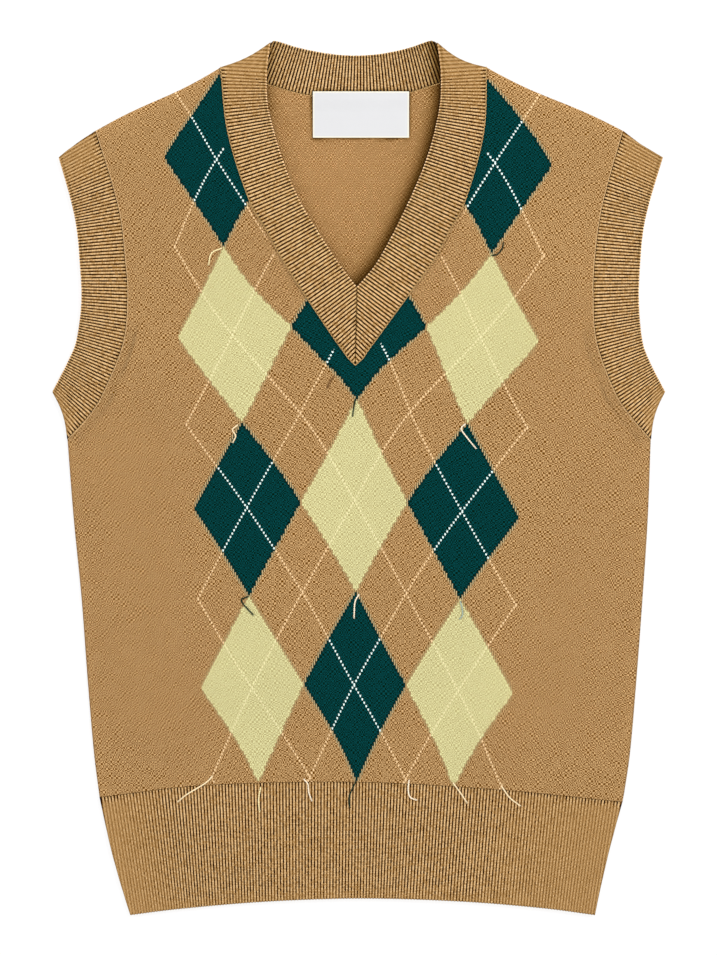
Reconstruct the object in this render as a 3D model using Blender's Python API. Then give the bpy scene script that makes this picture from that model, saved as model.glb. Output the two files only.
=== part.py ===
"""Knitted V-neck sweater vest, laid flat on its back.

Tables are in millimetres, the model is in metres. +X is the viewer's right, +Y runs from the
hem to the neck, +Z points up out of the front. The back rests on z = 0.
"""
import math

import bmesh
import bpy
import numpy as np

MM = 0.001
SIDES = ("left", "right")

# ---- driving dimensions, mm ----------------------------------------------------------------
SEAM_GAP = 0.3            # clearance between two pieces at a seam or fold
PANEL_WALL = 2.0          # plain knit cloth
BAND_WALL = 2.2           # rib bands, measured in the rib's grooves
RIB_RISE = 0.8            # height of a rib over its grooves
BELLY_INSET = 1.2         # how far a back piece's underside is set in from its edge
FREE_EDGE_ROLL = 1.5      # width of the roll along a band's free edge
FREE_EDGE_SHARE = 0.55    # share of a band's height that is left at that edge
FOLD_ROLL = 3.0           # width of the roll where a front band turns over to the back
FOLD_SHARE = 0.45         # share of a band's height that is left at that fold
SIDE_ROLL = 9.0           # width of the roll along the side seams
SHOULDER_ROLL = 20.0      # width of the roll along the shoulder seams
FRONT_LOFT = 0.5          # how far the front rides over the back everywhere

BACK_RIB_TOP = BAND_WALL + RIB_RISE
FRONT_BED = PANEL_WALL + SEAM_GAP     # lowest underside of the front panel
BAND_BED = BAND_WALL + SEAM_GAP       # underside of the front hem and armhole ribs
NECK_BED = BACK_RIB_TOP + SEAM_GAP    # underside of the front neck ribs

# ---- outlines: each row is a station, with its x on the left and on the right --------------
SIDE_SEAM = [             # from the hem rib up to the underarm
    {"y": -239.0, "left": -194.0, "right": 198.3},
    {"y": -205.0, "left": -198.3, "right": 203.2},
    {"y": -150.0, "left": -203.0, "right": 208.0},
    {"y": -90.0, "left": -207.5, "right": 212.5},
    {"y": -30.0, "left": -213.4, "right": 216.4},
    {"y": 28.5, "left": -218.0, "right": 218.6},
]
ARMHOLE_SEAM = [          # from the underarm up to the shoulder
    {"y": 28.5, "left": -218.0, "right": 218.6},
    {"y": 47.0, "left": -201.2, "right": 202.6},
    {"y": 65.0, "left": -190.4, "right": 191.3},
    {"y": 102.0, "left": -176.0, "right": 178.0},
    {"y": 138.0, "left": -173.0, "right": 175.6},
    {"y": 163.0, "left": -174.8, "right": 176.6},
    {"y": 194.0, "left": -178.2, "right": 180.4},
    {"y": 225.0, "left": -186.0, "right": 187.8},
    {"y": 259.5, "left": -197.0, "right": 197.8},
]
ARMHOLE_EDGE = [          # free edge of the armhole rib, from the underarm up to the shoulder
    {"y": 64.0, "left": -229.3, "right": 229.3},
    {"y": 88.0, "left": -217.0, "right": 217.2},
    {"y": 104.0, "left": -211.0, "right": 212.0},
    {"y": 133.0, "left": -207.5, "right": 209.6},
    {"y": 163.0, "left": -208.9, "right": 210.8},
    {"y": 187.0, "left": -211.2, "right": 213.3},
    {"y": 209.0, "left": -215.8, "right": 218.4},
    {"y": 239.6, "left": -224.5, "right": 227.6},
]
NECK_SEAM = [             # seam of the front neck rib, from the point of the V to the shoulder
    {"y": 84.0, "left": -2.6, "right": -2.6},
    {"y": 84.5, "left": -4.7, "right": -0.3},
    {"y": 88.1, "left": -7.2, "right": 2.6},
    {"y": 93.0, "left": -10.4, "right": 5.6},
    {"y": 102.5, "left": -17.5, "right": 12.6},
    {"y": 136.5, "left": -40.3, "right": 37.4},
    {"y": 163.0, "left": -57.2, "right": 56.5},
    {"y": 184.0, "left": -68.6, "right": 67.6},
    {"y": 207.5, "left": -81.9, "right": 79.8},
    {"y": 258.0, "left": -97.8, "right": 93.4},
    {"y": 307.0, "left": -103.3, "right": 95.6},
]
NECK_EDGE = [             # free edge of the front neck rib, from the V to the shoulder
    {"y": 142.1, "left": -1.3, "right": -1.3},
    {"y": 163.1, "left": -17.0, "right": 15.2},
    {"y": 204.0, "left": -42.6, "right": 36.4},
    {"y": 240.0, "left": -57.6, "right": 51.4},
    {"y": 276.0, "left": -67.6, "right": 60.4},
    {"y": 302.0, "left": -68.8, "right": 61.5},
    {"y": 325.5, "left": -66.2, "right": 58.8},
]
BACK_NECK_SEAM = [        # seam of the back neck rib, left to right
    {"x": -103.3, "y": 307.0},
    {"x": -68.0, "y": 294.8},
    {"x": -37.3, "y": 286.5},
    {"x": -3.0, "y": 284.2},
    {"x": 30.0, "y": 286.8},
    {"x": 60.2, "y": 295.6},
    {"x": 95.6, "y": 307.0},
]
BACK_NECK_EDGE = [        # free edge of the back neck rib, left to right
    {"x": -66.2, "y": 325.5},
    {"x": -61.8, "y": 327.0},
    {"x": -44.0, "y": 321.8},
    {"x": -22.0, "y": 317.6},
    {"x": -2.5, "y": 316.2},
    {"x": 17.0, "y": 317.6},
    {"x": 37.0, "y": 321.8},
    {"x": 53.0, "y": 327.1},
    {"x": 58.8, "y": 325.5},
]
HEM_SEAM = [              # where the body ends and the hem rib begins, left to right
    {"x": -194.0, "y": -239.0},
    {"x": -114.5, "y": -230.0},
    {"x": -3.5, "y": -227.6},
    {"x": 100.0, "y": -233.0},
    {"x": 197.4, "y": -242.5},
]
HEM_EDGE = [              # bottom edge of the vest, left to right
    {"x": -171.0, "y": -327.4},
    {"x": -134.0, "y": -322.8},
    {"x": -70.0, "y": -317.4},
    {"x": 2.0, "y": -315.0},
    {"x": 75.0, "y": -317.2},
    {"x": 136.0, "y": -322.1},
    {"x": 176.8, "y": -327.4},
]
FOLD_BOW = [              # how far the ends of the bands bow out, or in, from a straight line
    {"fold": "hem side", "left": 1.5, "right": -1.0},
    {"fold": "underarm", "left": -2.4, "right": -2.4},
    {"fold": "arm top", "left": 0.8, "right": -1.0},
    {"fold": "neck top", "left": -2.2, "right": -3.4},
]
FOLD_STEPS = 8
SHOULDER_SWING = 1.1      # the shoulder seam rises this much by the armhole and dips by the neck
SHOULDER_DIP = 0.5        # and sinks this much in its middle

# ---- ribs: how many ridges each band has, and which way they run ---------------------------
HEM_RIBS = 163
ARMHOLE_RIBS = 94
FRONT_NECK_RIBS = 100
BACK_NECK_RIBS = 78
BLUNT = 1.5               # how far a band's cut-off ribs stop short of a sharp corner
RIBS_PER_INSIDE_STEP = 4  # the plain inside has one step for this many ribs
STEPS = 240               # steps that a band's lines are read in, to find where a rib ends
HEM_LEAN = [              # place along the seam, and the ribs' turn there in degrees
    {"x": -194.0, "turn": -81.0},
    {"x": -183.0, "turn": -81.0},
    {"x": -156.0, "turn": -83.0},
    {"x": -119.0, "turn": -86.5},
    {"x": -74.0, "turn": -89.0},
    {"x": 0.0, "turn": -91.0},
    {"x": 41.0, "turn": -93.5},
    {"x": 90.0, "turn": -94.5},
    {"x": 130.0, "turn": -95.5},
    {"x": 160.0, "turn": -97.0},
    {"x": 197.4, "turn": -99.5},
]
ARMHOLE_LEAN = [          # for the left side, from the free edge to the seam
    {"y": 28.5, "turn": -54.0},
    {"y": 37.0, "turn": -49.0},
    {"y": 47.0, "turn": -41.0},
    {"y": 58.0, "turn": -34.0},
    {"y": 68.0, "turn": -28.5},
    {"y": 82.0, "turn": -22.0},
    {"y": 100.0, "turn": -15.0},
    {"y": 124.0, "turn": -5.5},
    {"y": 148.0, "turn": 0.0},
    {"y": 192.0, "turn": 8.0},
    {"y": 214.0, "turn": 17.5},
    {"y": 230.0, "turn": 23.5},
    {"y": 259.5, "turn": 31.0},
]
NECK_LEAN = [             # for the left side, from the seam to the free edge
    {"y": 84.0, "turn": 48.0},
    {"y": 103.0, "turn": 40.5},
    {"y": 127.0, "turn": 35.5},
    {"y": 155.0, "turn": 32.0},
    {"y": 182.0, "turn": 28.0},
    {"y": 210.0, "turn": 22.0},
    {"y": 243.0, "turn": 16.0},
    {"y": 275.0, "turn": 5.5},
    {"y": 301.0, "turn": -4.0},
    {"y": 326.5, "turn": 0.0},
]
BACK_NECK_LEAN = [
    {"x": -103.3, "turn": 60.0},
    {"x": -61.3, "turn": 70.6},
    {"x": -47.8, "turn": 75.0},
    {"x": -15.5, "turn": 84.4},
    {"x": 11.0, "turn": 93.0},
    {"x": 43.7, "turn": 103.0},
    {"x": 56.5, "turn": 108.0},
    {"x": 95.6, "turn": 118.0},
]

# ---- grid of the panels --------------------------------------------------------------------
COLUMN_SHARES = [0.0, 0.008, 0.045, 0.14, 0.24, 0.34, 0.44, 0.54, 0.64, 0.74, 0.83, 0.92, 1.0]
BODY_STEPS = 10           # rows from the hem rib to the underarm
YOKE_SHARES = [0.0, 0.08, 0.16, 0.25, 0.34, 0.43, 0.52, 0.61, 0.70, 0.79, 0.88, 0.96, 1.0]
CHEST_STEPS = 2           # yoke rows below the point of the V
CHEST_Y = 40.0            # where the row through the underarm meets the centre line

# ---- soft swells of the front: place, half length and width, turn in degrees, height -------
SWELLS = [
    {"x": -118.0, "y": -40.0, "long": 120.0, "wide": 26.0, "turn": 96.0, "rise": 0.9},
    {"x": 128.0, "y": -70.0, "long": 110.0, "wide": 24.0, "turn": 86.0, "rise": 0.9},
    {"x": -40.0, "y": -150.0, "long": 90.0, "wide": 30.0, "turn": 80.0, "rise": 0.6},
    {"x": 60.0, "y": 20.0, "long": 100.0, "wide": 34.0, "turn": 100.0, "rise": 0.6},
    {"x": -130.0, "y": 190.0, "long": 60.0, "wide": 24.0, "turn": 110.0, "rise": 0.8},
    {"x": 132.0, "y": 190.0, "long": 60.0, "wide": 24.0, "turn": 70.0, "rise": 0.8},
    {"x": -10.0, "y": -210.0, "long": 150.0, "wide": 14.0, "turn": 0.0, "rise": 0.7},
]

# ---- label, mm: it lies over the back neck seam --------------------------------------------
LABEL = {"left": -34.3, "right": 37.7, "top": 289.0, "bottom": 254.5, "wall": 0.6}
LABEL_PROFILE = [         # share of its height from the bottom, and what it lies on there
    {"share": 0.00, "bed": PANEL_WALL},
    {"share": 0.72, "bed": PANEL_WALL},
    {"share": 0.85, "bed": BACK_RIB_TOP},
    {"share": 1.00, "bed": BACK_RIB_TOP},
]

# ---- loose yarn ends, mm: the places that each one passes ----------------------------------
YARN_THICK = 1.1
YARN_ENDS = [
    {"yarn": "yellow", "places": ((-102.5, 171.4), (-110.0, 167.6), (-112.3, 158.6))},
    {"yarn": "green", "places": ((99.2, 166.1), (103.7, 166.9), (107.4, 171.4), (108.2, 175.9))},
    {"yarn": "camel", "places": ((-18.5, 76.1), (-22.3, 70.1), (-23.4, 66.4))},
    {"yarn": "green", "places": ((-2.4, 58.9), (-3.5, 52.9), (-4.7, 45.4))},
    {"yarn": "cream", "places": ((-90.5, 39.4), (-94.3, 35.6), (-92.0, 31.1), (-94.3, 25.9))},
    {"yarn": "white", "places": ((79.7, 40.1), (76.7, 36.4), (81.2, 29.6), (88.0, 21.4))},
    {"yarn": "green", "places": ((-82.3, -88.9), (-87.5, -91.1), (-86.0, -94.9), (-78.5, -103.1))},
    {"yarn": "white", "places": ((0.2, -87.4), (-2.8, -93.4), (-3.5, -105.4))},
    {"yarn": "grey", "places": ((76.0, -92.6), (77.5, -98.6), (77.5, -103.1), (75.2, -106.1))},
    {"yarn": "cream", "places": ((-109.3, -223.1), (-114.5, -228.4), (-128.0, -236.6), (-135.5, -242.6))},
    {"yarn": "yellow", "places": ((-73.3, -231.4), (-74.8, -241.1), (-74.0, -250.1))},
    {"yarn": "white", "places": ((-41.0, -225.4), (-38.0, -229.1), (-37.3, -235.1), (-35.0, -241.9))},
    {"yarn": "green", "places": ((-2.0, -226.9), (-5.8, -235.1), (-7.3, -241.1), (-6.5, -247.1))},
    {"yarn": "white", "places": ((37.7, -226.1), (37.0, -232.9), (38.5, -238.9), (43.7, -241.1))},
    {"yarn": "cream", "places": ((70.7, -228.4), (76.7, -236.6), (81.2, -243.4))},
    {"yarn": "cream", "places": ((106.7, -230.6), (112.7, -239.0), (121.0, -245.6))},
]

# ---- surface colours (linear) and roughness ------------------------------------------------
FINISH = {
    "camel_plain_knit": {"colour": (0.44, 0.25, 0.10), "rough": 0.90},
    "camel_rib_knit": {"colour": (0.39, 0.22, 0.085), "rough": 0.92},
    "white_woven_label": {"colour": (0.86, 0.86, 0.86), "rough": 0.70},
    "yellow_yarn": {"colour": (0.72, 0.65, 0.31), "rough": 0.90},
    "green_yarn": {"colour": (0.006, 0.054, 0.051), "rough": 0.90},
    "camel_yarn": {"colour": (0.24, 0.12, 0.045), "rough": 0.90},
    "cream_yarn": {"colour": (0.80, 0.60, 0.36), "rough": 0.90},
    "white_yarn": {"colour": (0.82, 0.80, 0.74), "rough": 0.90},
    "grey_yarn": {"colour": (0.36, 0.42, 0.36), "rough": 0.90},
}


def clear_scene():
    for old in list(bpy.data.objects):
        bpy.data.objects.remove(old, do_unlink=True)


def finish(name):
    made = bpy.data.materials.get(name)
    if made:
        return made
    made = bpy.data.materials.new(name)
    made.use_nodes = True
    shader = made.node_tree.nodes["Principled BSDF"]
    shader.inputs["Base Color"].default_value = (*FINISH[name]["colour"], 1.0)
    shader.inputs["Roughness"].default_value = FINISH[name]["rough"]
    shader.inputs["Metallic"].default_value = 0.0
    return made


# ---- lines ---------------------------------------------------------------------------------
def spread(line, shares):
    """Points of a polyline at the given shares of its length."""
    run = np.concatenate([[0.0], np.cumsum(np.linalg.norm(np.diff(line, axis=0), axis=1))])
    at = np.asarray(shares) * run[-1]
    return np.column_stack([np.interp(at, run, line[:, k]) for k in range(line.shape[1])])


def evenly(count):
    return np.linspace(0.0, 1.0, count)


def smooth_line(places, shares):
    """A cubic curve through the places, read at the given shares of its length."""
    p = np.array(places, float)
    p = np.vstack([2 * p[0] - p[1], p, 2 * p[-1] - p[-2]])
    fine = []
    for a, b, c, d in zip(p, p[1:], p[2:], p[3:]):
        for t in np.linspace(0.0, 1.0, 24, endpoint=False):
            bend = 2 * a - 5 * b + 4 * c - d
            twist = -a + 3 * b - 3 * c + d
            fine.append(0.5 * (2 * b + (c - a) * t + bend * t * t + twist * t ** 3))
    fine.append(p[-2])
    return spread(np.array(fine), shares)


def side_line(table, side, shares):
    return smooth_line([(row[side], row["y"]) for row in table], shares)


def across_line(table, shares):
    return smooth_line([(row["x"], row["y"]) for row in table], shares)


def joined(*parts):
    return np.vstack([parts[0]] + [part[1:] for part in parts[1:]])


def moved_aside(line, by):
    """The polyline moved to the left of its own direction."""
    way = np.gradient(line, axis=0)
    way = way / np.linalg.norm(way, axis=1)[:, None]
    return line + np.column_stack([-way[:, 1], way[:, 0]]) * by


def outward(side, by):
    """A distance away from the middle, for a line that runs up the given side."""
    return by if side == "left" else -by


def run_of(line):
    return np.linalg.norm(np.diff(line, axis=0), axis=1).sum()


def shortened(line, start, end):
    """The line read evenly, a little short at either end."""
    run = run_of(line)
    return spread(line, np.linspace(start / run, 1 - end / run, STEPS + 1))


def folded(name, side, start, end):
    """The bowed line of a fold. start to end runs up the given side."""
    bow = next(row[side] for row in FOLD_BOW if row["fold"] == name)
    places = evenly(FOLD_STEPS + 1)
    line = spread(np.array([start, end]), places)
    way = (end - start) / np.linalg.norm(end - start)
    aside = outward(side, bow) * np.sin(np.pi * places)
    return line + aside[:, None] * np.array([-way[1], way[0]])


def filled(low, high, first, last):
    """A grid between two lines, whose two ends follow the other two lines."""
    places = evenly(len(low))[:, None]
    rows = []
    for share, a, b in zip(evenly(len(first)), first, last):
        row = low + (high - low) * share
        rows.append(row + (a - row[0]) * (1 - places) + (b - row[-1]) * places)
    return np.array(rows)


# ---- the seams that two pieces share -------------------------------------------------------
def armhole_line(side):
    return side_line(ARMHOLE_SEAM, side, YOKE_SHARES)


def neck_line(side):
    """From the point of the V up to the shoulder, one place for each yoke row over the chest."""
    return side_line(NECK_SEAM, side, YOKE_SHARES[:1] + YOKE_SHARES[CHEST_STEPS + 1:])


def hem_half(side):
    """The hem seam's half, from its outer end to the middle."""
    whole = across_line(HEM_SEAM, evenly(161))
    half = whole[:81] if side == "left" else whole[80:][::-1]
    return spread(half, COLUMN_SHARES)


def hem_line():
    return joined(hem_half("left"), hem_half("right")[::-1])


def back_neck_line():
    return across_line(BACK_NECK_SEAM, evenly(13))


def shoulder_line(side, count):
    ends = np.array([armhole_line(side)[-1], neck_line(side)[-1]])
    line = spread(ends, evenly(count))
    turn = np.pi * evenly(count)
    line[:, 1] += SHOULDER_SWING * np.sin(2 * turn) - SHOULDER_DIP * np.sin(turn)
    return line


# ---- heights of the front, mm --------------------------------------------------------------
def rounded(distance, width):
    """0 at an edge, rising as a quarter round to 1 at the roll's width."""
    left = np.clip(1.0 - distance / width, 0.0, 1.0)
    return np.sqrt(1.0 - left ** 2)


def distance_to(line, places):
    """Distance from each place to a polyline."""
    best = np.full(places.shape[:-1], np.inf)
    for a, b in zip(line, line[1:]):
        along = b - a
        t = np.clip(((places - a) @ along) / (along @ along), 0.0, 1.0)
        foot = a + t[..., None] * along
        best = np.minimum(best, np.linalg.norm(places - foot, axis=-1))
    return best


def edge_share(places):
    """0 at the side and shoulder seams, 1 inside their rolls."""
    share = np.ones(places.shape[:-1])
    for side in SIDES:
        seam = side_line(SIDE_SEAM, side, evenly(BODY_STEPS + 1))
        share = share * rounded(distance_to(seam, places), SIDE_ROLL)
        shoulder = shoulder_line(side, len(COLUMN_SHARES))
        share = share * rounded(distance_to(shoulder, places), SHOULDER_ROLL)
    return share


def swell(places):
    """How far the front rides over its bed."""
    total = np.full(places.shape[:-1], FRONT_LOFT)
    for row in SWELLS:
        turn = math.radians(row["turn"])
        dx, dy = places[..., 0] - row["x"], places[..., 1] - row["y"]
        along = (dx * math.cos(turn) + dy * math.sin(turn)) / row["long"]
        across = (-dx * math.sin(turn) + dy * math.cos(turn)) / row["wide"]
        total = total + row["rise"] * np.exp(-(along ** 2 + across ** 2))
    return total


def front_under(places):
    return FRONT_BED + swell(places) * edge_share(places)


def front_top(places):
    return front_under(places) + PANEL_WALL * (0.35 + 0.65 * edge_share(places))


def level(height):
    return lambda places: np.full(places.shape[:-1], height)


# ---- closed solids -------------------------------------------------------------------------
def put(name, points, faces, finish_name):
    """One closed mesh object from points in mm."""
    mesh = bpy.data.meshes.new(name)
    work = bmesh.new()
    corners = [work.verts.new((x * MM, y * MM, z * MM)) for x, y, z in points]
    for face in faces:
        work.faces.new([corners[k] for k in face])
    bmesh.ops.triangulate(work, faces=work.faces)
    bmesh.ops.recalc_face_normals(work, faces=work.faces)
    work.to_mesh(mesh)
    work.free()
    mesh.materials.append(finish(finish_name))
    made = bpy.data.objects.new(name, mesh)
    bpy.context.collection.objects.link(made)


def grid_faces(rows, columns, start=0):
    faces = []
    for r in range(rows - 1):
        for c in range(columns - 1):
            a = start + r * columns + c
            faces.append((a, a + 1, a + columns + 1, a + columns))
    return faces


def welded(patches):
    """Places and faces of several grids that share their common edges, all facing up."""
    places, faces, index = [], [], {}
    for patch in patches:
        ids = []
        for place in patch.reshape(-1, 2):
            key = (round(place[0], 4), round(place[1], 4))
            if key not in index:
                index[key] = len(places)
                places.append(place)
            ids.append(index[key])
        for face in grid_faces(*patch.shape[:2]):
            face = tuple(ids[k] for k in face)
            ring = [places[k] for k in face]
            area = sum(a[0] * b[1] - b[0] * a[1] for a, b in zip(ring, ring[1:] + ring[:1]))
            faces.append(face if area > 0 else face[::-1])
    return np.array(places), faces


def rim_of(faces):
    """Where the faces end: the next corner after each corner of the rim."""
    edges = {(a, b) for face in faces for a, b in zip(face, face[1:] + face[:1])}
    return {a: b for a, b in edges if (b, a) not in edges}


def wall(name, patches, top, under, finish_name):
    """A cloth wall between two heights over one or more grids."""
    places, faces = welded(patches)
    count = len(places)
    points = [(*p, z) for p, z in zip(places, top(places))]
    points += [(*p, z) for p, z in zip(places, under(places))]
    shell = faces + [tuple(k + count for k in face[::-1]) for face in faces]
    shell += [(b, a, a + count, b + count) for a, b in rim_of(faces).items()]
    put(name, points, shell, finish_name)


def resting_wall(name, patches, thick, finish_name):
    """A flat wall on z = 0, widest half way up, with its underside set in."""
    places, faces = welded(patches)
    rim = rim_of(faces)
    before = {b: a for a, b in rim.items()}
    count = len(places)
    low = places.copy()
    for a, b in rim.items():
        ahead, behind = places[b] - places[a], places[a] - places[before[a]]
        way = ahead / np.linalg.norm(ahead) + behind / np.linalg.norm(behind)
        inward = np.array([-way[1], way[0]]) / np.linalg.norm(way)
        low[a] = places[a] + inward * BELLY_INSET
    points = [(*p, thick) for p in places] + [(*p, 0.0) for p in low]
    belly = {a: 2 * count + k for k, a in enumerate(rim)}
    points += [(*places[a], thick / 2) for a in rim]
    shell = faces + [tuple(k + count for k in face[::-1]) for face in faces]
    for a, b in rim.items():
        shell.append((b, a, belly[a], belly[b]))
        shell.append((belly[b], belly[a], a + count, b + count))
    put(name, points, shell, finish_name)


def stitched(fine, coarse):
    """Triangles between a fine and a coarse run of corners, of equal lengths."""
    faces, i, j = [], 0, 0
    while i < len(fine) - 1 or j < len(coarse) - 1:
        ahead = (i + 1) * (len(coarse) - 1) <= (j + 1) * (len(fine) - 1)
        if j == len(coarse) - 1 or (i < len(fine) - 1 and ahead):
            faces.append((fine[i + 1], fine[i], coarse[j]))
            i += 1
        else:
            faces.append((fine[i], coarse[j], coarse[j + 1]))
            j += 1
    return faces


def leaning(table, key, places, side):
    """Unit steps along the ribs that pass these places. The right side mirrors the left."""
    turns = np.radians(np.interp(places[:, 0 if key == "x" else 1],
                                 [row[key] for row in table], [row["turn"] for row in table]))
    return np.column_stack([outward(side, 1.0) * np.cos(turns), np.sin(turns)])


def stations(path, ways_at, count):
    """Places along a path for ribs that lie equally far apart, measured square to them."""
    fine = spread(path, evenly(4 * STEPS + 1))
    step = np.diff(fine, axis=0)
    ways = ways_at((fine[1:] + fine[:-1]) / 2)
    apart = np.abs(step[:, 0] * ways[:, 1] - step[:, 1] * ways[:, 0])
    run = np.concatenate([[0.0], np.cumsum(apart)])
    at = evenly(count) * run[-1]
    return np.column_stack([np.interp(at, run, fine[:, k]) for k in range(2)])


def met(starts, ways, path):
    """Where a line from each start along its way first meets a path."""
    best = np.full(len(starts), np.inf)
    for a, b in zip(path, path[1:]):
        along = b - a
        cross = ways[:, 0] * along[1] - ways[:, 1] * along[0]
        cross = np.where(np.abs(cross) < 1e-9, 1e-9, cross)
        off = a - starts
        run = (off[:, 0] * along[1] - off[:, 1] * along[0]) / cross
        share = (off[:, 0] * ways[:, 1] - off[:, 1] * ways[:, 0]) / cross
        hit = (run > BLUNT / 2) & (share > -0.01) & (share < 1.01)
        best = np.where(hit & (run < best), run, best)
    return starts + ways * np.where(np.isfinite(best), best, BLUNT)[:, None]


def snapped(line, corner):
    """The line with its nearest place moved onto a corner, and that place's number."""
    nearest = int(np.linalg.norm(line - corner, axis=1).argmin())
    line = line.copy()
    line[nearest] = corner
    return line, nearest


def cast_ribs(path, ways_at, outline, corners, ribs):
    """Both ends of each groove and ridge, from a path to the outline across the band."""
    near = stations(path, ways_at, 2 * ribs + 1)
    far = met(near, ways_at(near), outline)
    far[0], far[-1] = outline[0], outline[-1]
    marks = []
    for corner in corners:
        far, mark = snapped(far, corner)
        marks.append(mark)
    return near, far, marks


def rib_band(name, seam, edge, bed, folds, marks):
    """A band whose ribs run from its seam to its free edge, raised over a plain inside.

    seam and edge have one place for each groove and each ridge between. folds are the lines
    where it turns over to the back, and marks the columns that the inside follows too.
    """
    columns = len(seam)
    ridges = np.where(np.arange(columns) % 2 == 1, BAND_WALL + RIB_RISE, BAND_WALL)
    length = np.linalg.norm(edge - seam, axis=1)
    roll_share = np.clip(1 - FREE_EDGE_ROLL / length, 0.5, 1.0)[:, None]
    rolled = seam + (edge - seam) * roll_share
    points = []
    for line, share in ((seam, 1.0), (rolled, 1.0), (edge, FREE_EDGE_SHARE)):
        shares = np.full(columns, share)
        for fold in folds:
            roll = rounded(distance_to(fold, line), FOLD_ROLL)
            shares = np.minimum(shares, FOLD_SHARE + (1 - FOLD_SHARE) * roll)
        points += [(*place, bed + h) for place, h in zip(line, ridges * shares)]
    faces = grid_faces(3, columns)
    inside = sorted({*range(0, columns, 2 * RIBS_PER_INSIDE_STEP), *marks, columns - 1})
    under = []
    for line in (seam, rolled, edge):
        under.append(list(range(len(points), len(points) + len(inside))))
        points += [(*line[k], bed) for k in inside]
    for low, high in zip(under, under[1:]):
        for k in range(len(inside) - 1):
            faces.append((low[k], high[k], high[k + 1], low[k + 1]))
    for k, (a, b) in enumerate(zip(inside, inside[1:])):
        faces += stitched(list(range(a, b + 1)), under[0][k:k + 2])
        top = list(range(2 * columns + a, 2 * columns + b + 1))
        faces += [face[::-1] for face in stitched(top, under[-1][k:k + 2])]
    for end, turn in ((0, 1), (-1, -1)):
        column = 0 if end == 0 else columns - 1
        upper = [r * columns + column for r in range(3)]
        lower = [row[end] for row in under][::-1]
        faces.append(tuple((upper + lower)[::turn]))
    put(name, points, faces, "camel_rib_knit")


# ---- the panels ----------------------------------------------------------------------------
def panel_half(side, inner, top):
    """Grid of half a panel; each row runs from the outer seam to the inner rail."""
    low = hem_half(side)
    body = side_line(SIDE_SEAM, side, evenly(BODY_STEPS + 1))
    body[0] = low[0]
    outer = joined(body, armhole_line(side))
    share = np.array(COLUMN_SHARES)[:, None]
    low_bow = low - (low[0] + (low[-1] - low[0]) * share)
    top_bow = top - (top[0] + (top[-1] - top[0]) * share)
    grid = []
    for v, start, end in zip(evenly(len(outer)), outer, inner):
        straight = start + (end - start) * share
        grid.append(straight + low_bow * (1 - v) ** 2 + top_bow * v ** 6)
    return np.array(grid)


def front_panel():
    middle = hem_half("left")[-1]
    point = np.array([NECK_SEAM[0]["left"], NECK_SEAM[0]["y"] - 2 * SEAM_GAP])
    chest = np.array([(middle[0] + point[0]) / 2, CHEST_Y])
    halves = []
    for side in SIDES:
        seam = moved_aside(neck_line(side), outward(side, SEAM_GAP))
        seam[0] = point
        inner = joined(spread(np.array([middle, chest]), evenly(BODY_STEPS + 1)),
                       spread(np.array([chest, point]), evenly(CHEST_STEPS + 1)), seam)
        top = shoulder_line(side, len(COLUMN_SHARES))
        top[-1] = seam[-1]
        halves.append(panel_half(side, inner, top))
    wall("front_panel", halves, front_top, front_under, "camel_plain_knit")


def back_panel():
    neck = back_neck_line() - np.array([0.0, SEAM_GAP])
    half = len(neck) // 2
    halves = []
    for side in SIDES:
        part_of_neck = neck[:half + 1] if side == "left" else neck[half:][::-1]
        shoulder = shoulder_line(side, len(COLUMN_SHARES) - half)
        shoulder[-1] = part_of_neck[0]
        top = joined(shoulder, part_of_neck)
        rows = BODY_STEPS + len(YOKE_SHARES)
        inner = spread(np.array([hem_half(side)[-1], neck[half]]), evenly(rows))
        halves.append(panel_half(side, inner, top))
    resting_wall("back_panel", halves, PANEL_WALL, "camel_plain_knit")


# ---- the rib bands -------------------------------------------------------------------------
def hem_ribs():
    """Ribs from the seam to the bottom edge, the outermost ones to the side folds."""
    seam = hem_line() - np.array([0.0, SEAM_GAP])
    edge = across_line(HEM_EDGE, evenly(len(seam)))
    left = folded("hem side", "left", edge[0], seam[0])
    right = folded("hem side", "right", edge[-1], seam[-1])
    near, far, marks = cast_ribs(
        shortened(seam, BLUNT, BLUNT), lambda at: leaning(HEM_LEAN, "x", at, "left"),
        joined(left[::-1], edge, right), (edge[0], edge[-1]), HEM_RIBS)
    rib_band("front_hem_rib", near, far, BAND_BED, (left, right), marks)
    resting_wall("back_hem_rib", [filled(seam, edge, left[::-1], right[::-1])], BAND_WALL,
                 "camel_rib_knit")


def armhole_ribs(side):
    """Ribs from the seam to the free edge, and at both ends to the fold there."""
    seam = moved_aside(armhole_line(side), outward(side, SEAM_GAP))
    edge = side_line(ARMHOLE_EDGE, side, YOKE_SHARES)
    underarm = folded("underarm", side, seam[0], edge[0])
    arm_top = folded("arm top", side, edge[-1], seam[-1])
    near, far, marks = cast_ribs(
        shortened(seam, BLUNT, BLUNT), lambda at: -leaning(ARMHOLE_LEAN, "y", at, side),
        joined(underarm, side_line(ARMHOLE_EDGE, side, evenly(STEPS + 1)), arm_top),
        (edge[0], edge[-1]), ARMHOLE_RIBS)
    rib_band("front_armhole_rib_" + side, near, far, BAND_BED, (underarm, arm_top), marks)
    resting_wall("back_armhole_rib_" + side, [filled(seam, edge, underarm, arm_top[::-1])],
                 BAND_WALL, "camel_rib_knit")


def neck_fold(side):
    """Where the neck rib turns over the shoulder, from its seam up to its free edge."""
    ends = side_line(NECK_SEAM, side, [1.0])[0], side_line(NECK_EDGE, side, [1.0])[0]
    return folded("neck top", side, *ends)


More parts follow.
